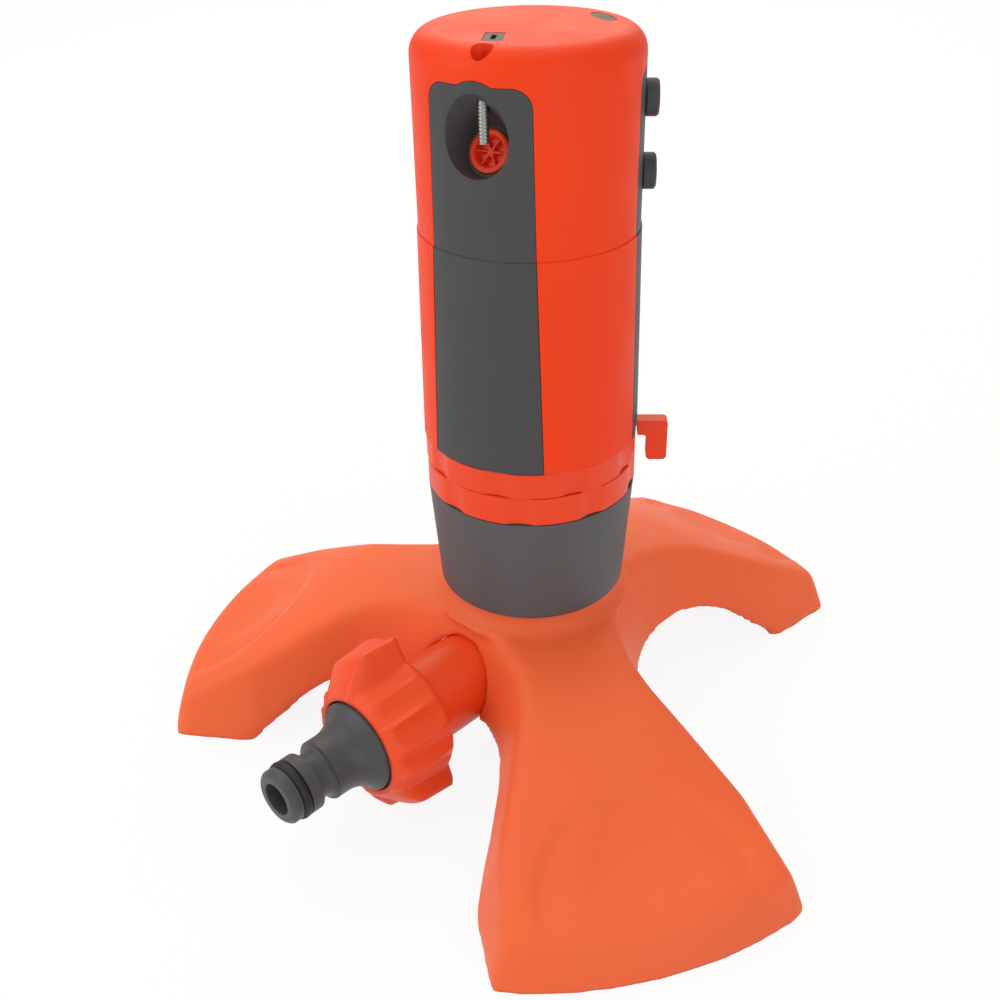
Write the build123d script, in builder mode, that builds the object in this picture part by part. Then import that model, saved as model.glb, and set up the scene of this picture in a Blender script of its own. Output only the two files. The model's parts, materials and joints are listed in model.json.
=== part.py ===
from build123d import *
from math import acos, asin, atan2, cos, degrees, hypot, pi, radians, sin, sqrt, tan
import os

os.makedirs("parts", exist_ok=True)

# Gear drive lawn sprinkler on a three-legged foot. Millimetres, +Z up.
# The origin is where the turning axis meets the ground, and the hose comes in along -Y.

# Clearances
running_gap = 0.05
seat_gap = 0.1
face_gap = 0.2
seam_gap = 0.12

# Three-legged foot
leg_angles = (90.0, 210.0, 330.0)
gap_angles = (30.0, 150.0, 270.0)
leg_reach = 107.7
leg_end_half_angle = 22.6
leg_heel_share = 0.785
leg_heel_half_angle = 27.4
gap_centre_share = 0.695
gap_near_reach = 39.0
foot_draft = 18.0
foot_skin = 2.8
hub_top_z = 43.0
hub_flat_radius = 22.0
crown_round_share = 0.89
toe_height = 10.6
crown_fillet = 4.0
collar_height = 5.0
collar_radius = 24.2
collar_flare = 4.0
leg_corner_fillet = 2.5
arch_half_width = 46.5
arch_height = 18.8
arch_slope = 58.0
arch_round_radius = 16.0
arch_start = 20.0
dish_inset = 10.7
dish_floor_radius = 15.0
dish_depth = 0.8
dish_tilt = 2.6
dish_wall_slope = 9.5
hub_ring_radius = 22.0
hub_ring_wall = 2.4
hub_ring_bottom_z = 16.0
leg_rib_thickness = 1.8
leg_rib_depth = 6.0
leg_rib_reaches = (48.0, 76.0)

# Hose inlet
inlet_z = 24.8
inlet_radius = 11.9
inlet_bore_radius = 8.6
barrel_radius = 12.5
barrel_bottom_z = 11.5
barrel_flange_radius = 13.4
barrel_flange_thickness = 3.0
inlet_thread_radius = 14.5
inlet_thread_start = 47.0
inlet_thread_end = 60.0
washer_thickness = 2.0
washer_bore_radius = 7.0
strainer_length = 11.0
strainer_wall = 0.9
strainer_slot_count = 3
strainer_slot_width = 1.2
strainer_slot_length = 6.8
strainer_slot_pitch = 2.6

# Quick-fit hose nose, as distances from the turning axis and radii
flange_radius = 14.3
flange_thickness = 3.4
nose_tip = 94.5
nose_bore_radius = 4.4
nose_tip_radius = 7.5
nose_tip_bevel = 1.0
nose_collar_radius = 7.95
nose_groove_radius = 6.3
nose_body_radius = 8.3
nose_cone_radius = 12.8
ring_groove_start = 88.7
ring_groove_width = 2.6
lock_groove_start = 85.2
lock_groove_end = 80.4
nose_cone_start = 76.8
nose_cone_end = 68.6

# Winged union nut
nut_rear = 48.6
nut_lip_thickness = 2.3
nut_front_radius = 16.3
nut_rear_radius = 17.9
nut_lip_bore_radius = 13.2
nut_wing_radius = 24.3
nut_wing_angles = (119.0, 299.0)
nut_wing_half_angle = 29.0
nut_wing_rear_inset = 0.5
nut_wing_front_inset = 2.5
nut_wing_slope_length = 5.0
nut_flute_angles = (0.0, 24.0, 48.0, 180.0, 204.0, 228.0)
nut_flute_radius = 4.0
nut_flute_depth = 0.8
nut_bevel = 1.0
nut_thread_gap = 0.075
nut_flute_end = 2.0

# Grey cup under the turning body
cup_foot_radius = 25.55
cup_foot_round = 1.2
cup_top_radius = 27.9
cup_shoulder_z = 79.3
cup_wall = 2.2
cup_ledge = 0.9
cup_floor = 3.0
neck_radius = 24.0
neck_bore_radius = 21.6

# Fixed riser and the screws that clamp cup and foot to it
riser_radius = 9.0
riser_bore_radius = 6.6
riser_bottom_z = 33.6
riser_top_z = 103.2
riser_flange_radius = 19.4
riser_flange_thickness = 5.0
riser_seal_z = 37.6
riser_seal_section = 1.0
cup_screw_count = 4
cup_screw_reach = 16.2
cup_screw_radius = 1.5
cup_screw_head_radius = 2.5
cup_screw_head_height = 2.2
cup_screw_end_gap = 0.5
clip_groove_depth = 0.8
clip_radius = 11.4
clip_thickness = 1.2

# Arc setting rings
ring_radius = 28.0
ring_height = 7.8
ring_flute_count = 9
ring_flute_radius = 14.0
ring_flute_depth = 0.75
lower_ring_flute_angle = -53.0
upper_ring_flute_angle = -65.0
tab_reach = 32.6
tab_width = 5.0
tab_inset = 0.4
tab_root_depth = 2.0
tab_round = 1.2
lower_tab_angle = 146.0
upper_tab_angle = 122.0

# Turning body and head
body_foot_radius = 28.3
body_radius = 27.5
head_radius = 27.2
shell_wall = 2.6
body_bottom_z = 94.6
body_floor = 4.4
seam_z = 149.7
head_height = 46.4
head_edge_round = 5.5
head_roof = 3.0
sleeve_radius = 12.2
sleeve_step = 1.2
sleeve_bottom_z = 84.0
lip_seal_height = 1.6
lip_seal_bevel = 0.8
thrust_washer_thickness = 1.0
thrust_washer_radius = 12.0

# Grey panels let into body and head
nozzle_angle = -72.8
panel_depth = 1.5
front_panel_half_top = 27.5
front_panel_half_seam = 29.0
front_panel_half_bottom = 32.2
front_panel_top_drop = 7.9
side_panel_angle = nozzle_angle + 115.0
side_panel_half_angle = 20.5
side_panel_top_drop = 8.3
panel_corner_round = 4.5

# Nozzle, its recess and the radius screw
nozzle_tilt = 26.0
nozzle_face_reach = 20.4
nozzle_height_share = 0.498
recess_flare = 17.0
recess_floor_radius = 5.7
recess_floor_drop = 0.6
recess_wall = 1.5
nozzle_radius = 5.0
nozzle_length = 9.0
nozzle_rim = 1.1
nozzle_spokes = 6
nozzle_spoke_thickness = 0.7
nozzle_hub_radius = 1.1
tube_radius = 7.0
screw_reach = 23.9
screw_angle = nozzle_angle + 1.8
screw_radius = 1.25
screw_rise = 2.7
screw_head_drop = 9.3
screw_head_radius = 2.0
screw_head_height = 2.6
screw_slot_width = 0.7
access_hole_radius = 2.5
screw_boss_radius = 3.8

# Spare nozzles in the side panel
spare_radius = 4.3
spare_tail_radius = 3.4
spare_proud = 3.0
spare_depth = 8.0
spare_rises = (6.8, -10.4)
spare_chamfer = 0.5
spare_cup_depth = 1.0
spare_seat_wall = 1.5
spare_seat_floor = 1.2

# Inserts in the head's top
slot_insert_reach = 14.9
slot_insert_angle = -77.0
slot_insert_turn = -52.0
slot_insert_length = 9.0
slot_insert_width = 4.6
mark_insert_reach = 18.8
mark_insert_angle = 65.0
mark_insert_turn = -25.0
mark_insert_length = 11.0
mark_insert_width = 4.2
insert_depth = 1.6

# Gear train: module, teeth and the levels that the four meshes lie on
gear_module = 0.6
pinion_teeth = 10
wheel_teeth = 30
pressure_angle = 25.0
profile_shift = 0.15
tooth_backlash = 0.1
tooth_addendum = 0.9
tooth_dedendum = 1.25
gear_face = 3.0
gear_level_z = 118.6
gear_level_pitch = 4.0
gear_side_gap = 0.3
pin_radius = 1.25
hub_boss_radius = 2.1
fixed_boss_proud = 0.4
offset_pin_angle = nozzle_angle + 180.0

# Turbine, flow plate and gear case
spider_thickness = 2.4
spider_arm_count = 3
spider_arm_width = 1.6
spider_boss_radius = 2.6
spider_rim = 0.9
spider_sink = 0.4
stator_bottom_z = 106.0
stator_thickness = 2.6
stator_ledge = 0.9
stator_bore_gap = 0.3
shutter_bore_radius = 6.0
shutter_thickness = 1.1
port_count = 6
port_reach = 17.5
port_radius = 2.2
turbine_bottom_z = 109.2
turbine_radius = 22.0
turbine_hub_radius = 4.0
turbine_disc_thickness = 1.2
turbine_height = 5.0
blade_count = 14
blade_inner_radius = 13.0
blade_thickness = 0.9
blade_lean = 32.0
blade_overlap = 0.4
blade_end_gap = 0.6
case_bottom_z = 115.2
case_floor = 2.0
case_radius = 23.4
case_wall = 1.2
case_lid_thickness = 2.2
case_head_room = 0.9
pin_top_rise = 1.3
turbine_tip_gap = 0.5
case_fin_count = 6
case_fin_thickness = 1.4
head_plate_thickness = 2.6
head_plate_socket_height = 6.0
seam_seal_section = 0.9

# Trip lever, with its hook outside the rings
lever_angle = side_panel_angle
lever_swing = 7.0
lever_ring_radius = 23.6
lever_ring_bore = 18.6
lever_ring_thickness = 1.6
lever_side_gap = 0.3
lever_opening_half_width = 7.6
lever_opening_round = 2.6
lever_post_radius = 1.6
lever_width = 4.2
hook_top_z = 95.9
hook_bottom_z = 91.6
hook_leg_inner = 30.9
hook_reach = 36.4
hook_tip_z = 84.2
hook_root_gap = 0.4
hook_slope = 2.0
hook_overlap = 2.0
hook_round = 1.1

# Values that follow from the ones above
mesh_distance = gear_module * (pinion_teeth + wheel_teeth) / 2
leg_heel_reach = leg_heel_share * leg_reach
gap_centre_reach = gap_centre_share * leg_reach
gap_round_radius = gap_centre_reach - gap_near_reach
dish_reach = leg_reach - dish_inset
crown_round_radius = crown_round_share * leg_reach
crown_centre_z = hub_top_z - crown_round_radius
toe_distance = hypot(leg_reach - hub_flat_radius, toe_height - crown_centre_z)
toe_heading = degrees(atan2(toe_height - crown_centre_z, leg_reach - hub_flat_radius))
crown_slope = 90 - toe_heading - degrees(acos(crown_round_radius / toe_distance))
cup_seat_z = hub_top_z + collar_height
cup_floor_z = cup_seat_z + cup_floor
lower_ring_z = cup_shoulder_z + face_gap
upper_ring_z = lower_ring_z + ring_height + face_gap
upper_ring_height = body_bottom_z - face_gap - upper_ring_z
neck_top_z = upper_ring_z + upper_ring_height - face_gap
body_floor_z = body_bottom_z + body_floor
body_draft = degrees(atan2(body_foot_radius - body_radius, seam_z - body_bottom_z))
shell_bore = body_radius - shell_wall
head_bore = head_radius - shell_wall
head_top_z = seam_z + head_height
nozzle_face_z = seam_z + nozzle_height_share * head_height
front_panel_top_z = head_top_z - front_panel_top_drop
side_panel_top_z = head_top_z - side_panel_top_drop
screw_bottom_z = nozzle_face_z + screw_rise
screw_head_z = head_top_z - screw_head_drop
spare_heights = [nozzle_face_z + rise for rise in spare_rises]
tube_bore_radius = nozzle_radius + running_gap
hook_root = ring_radius + hook_root_gap
washer_top_z = body_floor_z + thrust_washer_thickness
flange_back = inlet_thread_end + washer_thickness
nut_front = flange_back + flange_thickness + nut_lip_thickness + face_gap
case_top_z = gear_level_z + 3 * gear_level_pitch + gear_face + gear_side_gap + case_head_room
offset_pin_x = mesh_distance * cos(radians(offset_pin_angle))
offset_pin_y = mesh_distance * sin(radians(offset_pin_angle))


def polar(radius, angle):
    """Plan point at a distance from the turning axis."""
    return (radius * cos(radians(angle)), radius * sin(radians(angle)))


def radial_plane(angle, reach=0.0, height=0.0):
    """Upright plane that faces outwards along an angle: its x runs sideways, its y up."""
    x, y = polar(reach, angle)
    return Plane(
        origin=(x, y, height),
        x_dir=(-sin(radians(angle)), cos(radians(angle)), 0),
        z_dir=(cos(radians(angle)), sin(radians(angle)), 0),
    )


def section_plane(angle):
    """Upright plane through the turning axis: its x runs outwards along an angle, its y up."""
    return Plane(
        origin=(0, 0, 0),
        x_dir=(cos(radians(angle)), sin(radians(angle)), 0),
        z_dir=(sin(radians(angle)), -cos(radians(angle)), 0),
    )


def save(part, name):
    """Labels a finished piece and writes it."""
    part.label = name
    export_step(part, f"parts/{name}.step")


# Foot

def tangent_point(heel, centre, radius):
    """Where a line from the heel touches the round gap, on the side of the turning axis."""
    dx, dy = centre[0] - heel[0], centre[1] - heel[1]
    distance = hypot(dx, dy)
    length = sqrt(distance**2 - radius**2)
    swing = asin(radius / distance)
    candidates = []
    for side in (-1, 1):
        heading = atan2(dy, dx) + side * swing
        candidates.append((heel[0] + length * cos(heading), heel[1] + length * sin(heading)))
    return min(candidates, key=lambda point: hypot(*point))


def crown_height(reach):
    """Height of the foot's top surface at a distance from the turning axis."""
    round_end = hub_flat_radius + crown_round_radius * sin(radians(crown_slope))
    if reach <= hub_flat_radius:
        return hub_top_z
    if reach <= round_end:
        return hub_top_z - crown_round_radius + sqrt(crown_round_radius**2 - (reach - hub_flat_radius) ** 2)
    round_drop = crown_round_radius * (1 - cos(radians(crown_slope)))
    return hub_top_z - round_drop - (reach - round_end) * tan(radians(crown_slope))


def foot_block(inset, drop):
    """The foot as a solid block, its outline drawn in by inset and its top lowered by drop."""
    with BuildPart() as block:
        with BuildSketch(Plane.XY):
            with BuildLine():
                for angle in leg_angles:
                    heel_in = polar(leg_heel_reach, angle - leg_heel_half_angle)
                    toe_in = polar(leg_reach, angle - leg_end_half_angle)
                    toe_out = polar(leg_reach, angle + leg_end_half_angle)
                    heel_out = polar(leg_heel_reach, angle + leg_heel_half_angle)
                    next_heel = polar(leg_heel_reach, angle + 120 - leg_heel_half_angle)
                    gap_centre = polar(gap_centre_reach, angle + 60)
                    gap_near = polar(gap_centre_reach - gap_round_radius, angle + 60)
                    first_touch = tangent_point(heel_out, gap_centre, gap_round_radius)
                    last_touch = tangent_point(next_heel, gap_centre, gap_round_radius)
                    Line(heel_in, toe_in)
                    ThreePointArc(toe_in, polar(leg_reach, angle), toe_out)
                    Line(toe_out, heel_out)
                    Line(heel_out, first_touch)
                    ThreePointArc(first_touch, gap_near, last_touch)
                    Line(last_touch, next_heel)
            make_face()
            if inset:
                offset(amount=-inset, kind=Kind.INTERSECTION)
        extrude(amount=hub_top_z + 4, taper=foot_draft)
        round_end = hub_flat_radius + crown_round_radius * sin(radians(crown_slope))
        round_middle = hub_flat_radius + crown_round_radius * sin(radians(crown_slope / 2))
        outer_reach = leg_reach + crown_fillet
        with BuildSketch(Plane.XZ):
            with BuildLine():
                Line((0, 0), (0, hub_top_z - drop))
                Line((0, hub_top_z - drop), (hub_flat_radius, hub_top_z - drop))
                ThreePointArc(
                    (hub_flat_radius, hub_top_z - drop),
                    (round_middle, crown_height(round_middle) - drop),
                    (round_end, crown_height(round_end) - drop),
                )
                Polyline(
                    (round_end, crown_height(round_end) - drop),
                    (outer_reach, crown_height(outer_reach) - drop),
                    (outer_reach, 0),
                    (0, 0),
                )
            make_face()
        revolve(axis=Axis.Z, mode=Mode.INTERSECT)
    return block.part


def lies_on_crown(edge):
    """True for an edge that the foot's top surface ends in."""
    middle = edge @ 0.5
    off_crown = abs(middle.Z - crown_height(hypot(middle.X, middle.Y)))
    return middle.Z > toe_height / 3 and off_crown < seat_gap / 5


def toe_corner(edge):
    """True for the four upright corners at the ends of a leg."""
    ends = sorted((edge @ 0, edge @ 1), key=lambda point: point.Z)
    at_toe = abs(hypot(ends[0].X, ends[0].Y) - leg_reach) < leg_corner_fillet / 5
    return at_toe and ends[0].Z < seat_gap and ends[1].Z > toe_height / 2


plan_skin = foot_skin / cos(radians(foot_draft))
outer_block = foot_block(0, 0)
cavity_block = foot_block(plan_skin, foot_skin)
rib_block = foot_block(plan_skin / 2, foot_skin / 2)

with BuildPart() as leg_ribs:
    for angle in leg_angles:
        middle = (hub_ring_radius + leg_reach) / 2
        with BuildSketch(Plane.XY):
            with Locations(Location((*polar(middle, angle), 0), (0, 0, angle))):
                Rectangle(leg_reach - hub_ring_radius, leg_rib_thickness)
            for reach in leg_rib_reaches:
                with Locations(Location((*polar(reach, angle), 0), (0, 0, angle))):
                    Rectangle(leg_rib_thickness, leg_reach)
        extrude(amount=hub_top_z)
    add(rib_block, mode=Mode.INTERSECT)
    add(cavity_block.moved(Location((0, 0, -leg_rib_depth))), mode=Mode.SUBTRACT)

with BuildPart() as tripod_base:
    add(outer_block)
    fillet(tripod_base.edges().filter_by(toe_corner), radius=leg_corner_fillet)
    fillet(tripod_base.edges().filter_by(lies_on_crown), radius=crown_fillet)
    add(cavity_block, mode=Mode.SUBTRACT)
    add(leg_ribs.part)
    # Ring under the hub that stiffens it around the inlet barrel
    with BuildSketch(Plane.XY.offset(hub_ring_bottom_z)):
        Circle(hub_ring_radius)
        Circle(hub_ring_radius - hub_ring_wall, mode=Mode.SUBTRACT)
    extrude(amount=hub_top_z - foot_skin / 2 - hub_ring_bottom_z)
    # Hollow collar that the cup stands on, swept up out of the hub
    with BuildSketch(Plane.XZ):
        with BuildLine():
            flare_end = collar_radius + collar_flare
            Polyline(
                (0, hub_top_z - foot_skin / 2),
                (0, cup_seat_z),
                (collar_radius, cup_seat_z),
                (collar_radius, hub_top_z + collar_flare),
            )
            flare_reach = collar_flare * cos(radians(45))
            ThreePointArc(
                (collar_radius, hub_top_z + collar_flare),
                (flare_end - flare_reach, hub_top_z + collar_flare - flare_reach),
                (flare_end, crown_height(flare_end) - seat_gap / 2),
            )
            Polyline(
                (flare_end, crown_height(flare_end) - seat_gap / 2),
                (flare_end, hub_top_z - foot_skin / 2),
                (0, hub_top_z - foot_skin / 2),
            )
        make_face()
    revolve(axis=Axis.Z)
    with BuildSketch(Plane.XY.offset(hub_top_z - foot_skin)):
        Circle(hub_ring_radius - hub_ring_wall)
    extrude(amount=collar_height, mode=Mode.SUBTRACT)
    # The barrel's hole and the screw holes
    with BuildSketch(Plane.XY.offset(hub_ring_bottom_z)):
        Circle(barrel_radius + seat_gap)
        with PolarLocations(cup_screw_reach, cup_screw_count, start_angle=45):
            Circle(cup_screw_radius + seat_gap)
    extrude(amount=hub_top_z, mode=Mode.SUBTRACT)
    # Hole for the inlet tube, and the arches between the legs
    with BuildSketch(Plane.XZ):
        with Locations((0, inlet_z)):
            Circle(inlet_radius + seat_gap)
    extrude(amount=gap_centre_reach, mode=Mode.SUBTRACT)
    for angle in gap_angles:
        flank = arch_height / tan(radians(arch_slope))
        with BuildSketch(radial_plane(angle, arch_start)):
            with BuildLine():
                Polyline(
                    (-arch_half_width, -1),
                    (-arch_half_width, 0),
                    (-arch_half_width + flank, arch_height),
                    (arch_half_width - flank, arch_height),
                    (arch_half_width, 0),
                    (arch_half_width, -1),
                    close=True,
                )
            arch = make_face()
            fillet(arch.vertices().group_by(Axis.Y)[-1], radius=arch_round_radius)
        extrude(amount=leg_reach - arch_start, mode=Mode.SUBTRACT)
    # Shallow dish on each leg, deepest towards the hub
    for angle in leg_angles:
        x, y = polar(dish_reach, angle)
        lean = radians(crown_slope - dish_tilt)
        dish_floor = Plane(
            origin=(x, y, crown_height(dish_reach) - dish_depth),
            x_dir=(-sin(radians(angle)), cos(radians(angle)), 0),
            z_dir=(sin(lean) * cos(radians(angle)), sin(lean) * sin(radians(angle)), cos(lean)),
        )
        dish_headroom = 5.0
        with Locations(dish_floor):
            Cone(
                dish_floor_radius,
                dish_floor_radius + dish_headroom / tan(radians(dish_wall_slope)),
                dish_headroom,
                align=(Align.CENTER, Align.CENTER, Align.MIN),
                mode=Mode.SUBTRACT,
            )
save(tripod_base.part, "tripod_base")


# Inlet barrel and tube, riser, and what joins them

with BuildPart() as inlet_elbow:
    with BuildSketch(Plane.XY.offset(barrel_bottom_z)):
        Circle(barrel_radius)
    extrude(amount=cup_floor_z - barrel_bottom_z)
    with BuildSketch(Plane.XY.offset(cup_seat_z - foot_skin - face_gap - barrel_flange_thickness)):
        Circle(barrel_flange_radius)
    extrude(amount=barrel_flange_thickness)
    with BuildSketch(Plane.XZ):
        with Locations((0, inlet_z)):
            Circle(inlet_radius)
    extrude(amount=inlet_thread_end)
    with BuildSketch(Plane.XZ.offset(inlet_thread_start)):
        with Locations((0, inlet_z)):
            Circle(inlet_thread_radius)
    extrude(amount=inlet_thread_end - inlet_thread_start)
    with BuildSketch(Plane.XZ):
        with Locations((0, inlet_z)):
            Circle(inlet_bore_radius)
    extrude(amount=inlet_thread_end, mode=Mode.SUBTRACT)
    with BuildSketch(Plane.XY.offset(barrel_bottom_z + cup_floor)):
        Circle(inlet_bore_radius)
    extrude(amount=cup_floor_z - barrel_bottom_z, mode=Mode.SUBTRACT)
    with BuildSketch(Plane.XY.offset(riser_bottom_z - seat_gap)):
        Circle(riser_radius + seat_gap)
    extrude(amount=cup_floor_z - riser_bottom_z + 1, mode=Mode.SUBTRACT)
save(inlet_elbow.part, "inlet_elbow")

clip_z = washer_top_z

with BuildPart() as riser_tube:
    with BuildSketch(Plane.XY.offset(riser_bottom_z)):
        Circle(riser_radius)
    extrude(amount=riser_top_z - riser_bottom_z)
    with BuildSketch(Plane.XY.offset(cup_floor_z)):
        Circle(riser_flange_radius)
    extrude(amount=riser_flange_thickness)
    with BuildSketch(Plane.XY.offset(riser_bottom_z)):
        Circle(riser_bore_radius)
    extrude(amount=riser_top_z - riser_bottom_z, mode=Mode.SUBTRACT)
    with BuildSketch(Plane.XY.offset(clip_z)):
        Circle(riser_radius + 1)
        Circle(riser_radius - clip_groove_depth, mode=Mode.SUBTRACT)
    extrude(amount=clip_thickness, mode=Mode.SUBTRACT)
    with BuildSketch(Plane.XY.offset(riser_seal_z - riser_seal_section)):
        Circle(riser_radius + 1)
        Circle(riser_radius + seat_gap - 2 * riser_seal_section, mode=Mode.SUBTRACT)
    extrude(amount=2 * riser_seal_section, mode=Mode.SUBTRACT)
    with BuildSketch(Plane.XY.offset(cup_floor_z)):
        with PolarLocations(cup_screw_reach, cup_screw_count, start_angle=45):
            Circle(cup_screw_radius)
    extrude(amount=riser_flange_thickness, mode=Mode.SUBTRACT)
save(riser_tube.part, "riser_tube")

with BuildPart() as riser_seal:
    with Locations((0, 0, riser_seal_z)):
        Torus(riser_radius + seat_gap - riser_seal_section, riser_seal_section)
save(riser_seal.part, "riser_seal")

with BuildPart() as retaining_clip:
    with BuildSketch(Plane.XY.offset(clip_z)):
        Circle(clip_radius)
        Circle(riser_radius - clip_groove_depth, mode=Mode.SUBTRACT)
        with Locations((clip_radius, 0)):
            Rectangle(2 * clip_radius, riser_radius, mode=Mode.SUBTRACT)
    extrude(amount=clip_thickness)
save(retaining_clip.part, "retaining_clip")

cup_screw_head_z = cup_seat_z - foot_skin - cup_screw_head_height
with BuildPart() as cup_screws:
    with PolarLocations(cup_screw_reach, cup_screw_count, start_angle=45):
        with Locations((0, 0, cup_screw_head_z)):
            Cylinder(
                cup_screw_head_radius,
                cup_screw_head_height,
                align=(Align.CENTER, Align.CENTER, Align.MIN),
            )
            Cylinder(
                cup_screw_radius,
                cup_floor_z + riser_flange_thickness - cup_screw_end_gap - cup_screw_head_z,
                align=(Align.CENTER, Align.CENTER, Align.MIN),
            )
            Box(
                2 * cup_screw_head_radius,
                cup_screw_radius / 2,
                cup_screw_head_height / 2,
                align=(Align.CENTER, Align.CENTER, Align.MIN),
                mode=Mode.SUBTRACT,
            )
save(cup_screws.part, "cup_screws")

with BuildPart() as riser_cup:
    ledge_z = cup_shoulder_z - cup_floor
    with BuildSketch(Plane.XZ):
        with BuildLine():
            Polyline(
                (barrel_radius + seat_gap, cup_seat_z),
                (cup_foot_radius, cup_seat_z),
                (cup_top_radius, cup_shoulder_z),
                (cup_top_radius - cup_wall, cup_shoulder_z),
                (cup_top_radius - cup_wall, ledge_z),
                (cup_top_radius - cup_wall - cup_ledge, ledge_z),
                (cup_foot_radius - cup_wall, cup_floor_z),
                (barrel_radius + seat_gap, cup_floor_z),
                close=True,
            )
        make_face()
    revolve(axis=Axis.Z)
    fillet(riser_cup.edges().group_by(Axis.Z)[0].sort_by(SortBy.RADIUS)[-1], radius=cup_foot_round)
    with BuildSketch(Plane.XY.offset(cup_seat_z)):
        with PolarLocations(cup_screw_reach, cup_screw_count, start_angle=45):
            Circle(cup_screw_radius + seat_gap)
    extrude(amount=cup_floor, mode=Mode.SUBTRACT)
save(riser_cup.part, "riser_cup")

with BuildPart() as ring_carrier:
    with BuildSketch(Plane.XY.offset(ledge_z)):
        Circle(cup_top_radius - cup_wall - running_gap)
    extrude(amount=cup_floor)
    with BuildSketch(Plane.XY.offset(ledge_z)):
        Circle(neck_radius)
    extrude(amount=neck_top_z - ledge_z)
    with BuildSketch(Plane.XY.offset(ledge_z)):
        Circle(neck_bore_radius)
    extrude(amount=neck_top_z - ledge_z, mode=Mode.SUBTRACT)
save(ring_carrier.part, "ring_carrier")


# Hose nose, its washer, seal and strainer, and the union nut

inlet_axis = Axis((0, 0, inlet_z), (0, -1, 0))
inlet_section = Plane(origin=(0, 0, inlet_z), x_dir=(0, -1, 0), z_dir=(1, 0, 0))

with BuildPart() as hose_connector:
    groove_end = ring_groove_start + ring_groove_width
    with BuildSketch(inlet_section):
        with BuildLine():
            Polyline(
                (flange_back, nose_bore_radius),
                (flange_back, flange_radius),
                (flange_back + flange_thickness, flange_radius),
                (flange_back + flange_thickness, nose_cone_radius),
                (nose_cone_end, nose_cone_radius),
            )
            TangentArc(
                (nose_cone_start, nose_body_radius),
                (nose_cone_end, nose_cone_radius),
                tangent=(-1, 0),
            )
            Line((nose_cone_start, nose_body_radius), (lock_groove_end, nose_body_radius))
            groove_depth = nose_body_radius - nose_groove_radius
            groove_reach = groove_depth * cos(radians(45))
            ThreePointArc(
                (lock_groove_end, nose_body_radius),
                (lock_groove_end + groove_depth - groove_reach, nose_body_radius - groove_reach),
                (lock_groove_end + groove_depth, nose_groove_radius),
            )
            Polyline(
                (lock_groove_end + groove_depth, nose_groove_radius),
                (lock_groove_start, nose_groove_radius),
                (lock_groove_start, nose_collar_radius),
                (ring_groove_start, nose_collar_radius),
                (ring_groove_start, nose_groove_radius),
                (groove_end, nose_groove_radius),
                (groove_end, nose_tip_radius),
                (nose_tip - nose_tip_bevel, nose_tip_radius),
                (nose_tip, nose_tip_radius - nose_tip_bevel),
                (nose_tip, nose_bore_radius),
                (flange_back, nose_bore_radius),
            )
        make_face()
    revolve(axis=inlet_axis)
save(hose_connector.part, "hose_connector")

nose_seal_section = (nose_collar_radius - nose_groove_radius) / 2
nose_seal_plane = Plane.XZ.offset(ring_groove_start + ring_groove_width / 2)
with BuildPart() as nose_o_ring:
    with Locations(nose_seal_plane.shift_origin((0, nose_seal_plane.origin.Y, inlet_z))):
        Torus(nose_groove_radius + nose_seal_section, nose_seal_section)
save(nose_o_ring.part, "nose_o_ring")

with BuildPart() as nut_washer:
    with BuildSketch(Plane.XZ.offset(inlet_thread_end)):
        with Locations((0, inlet_z)):
            Circle(flange_radius)
            Circle(washer_bore_radius, mode=Mode.SUBTRACT)
    extrude(amount=washer_thickness)
save(nut_washer.part, "nut_washer")

with BuildPart() as inlet_strainer:
    with BuildSketch(Plane.XZ.offset(inlet_thread_end - strainer_length)):
        with Locations((0, inlet_z)):
            Circle(inlet_bore_radius - seat_gap)
    extrude(amount=strainer_length)
    with BuildSketch(Plane.XZ.offset(inlet_thread_end - strainer_length + strainer_wall)):
        with Locations((0, inlet_z)):
            Circle(inlet_bore_radius - seat_gap - strainer_wall)
    extrude(amount=strainer_length, mode=Mode.SUBTRACT)
    with BuildSketch(Plane.XY.offset(inlet_z - inlet_radius)):
        for slot in range(1, strainer_slot_count + 1):
            with Locations((0, strainer_length - inlet_thread_end - slot * strainer_slot_pitch)):
                Rectangle(strainer_slot_length, strainer_slot_width)
    extrude(amount=2 * inlet_radius, mode=Mode.SUBTRACT)
save(inlet_strainer.part, "inlet_strainer")

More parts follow.
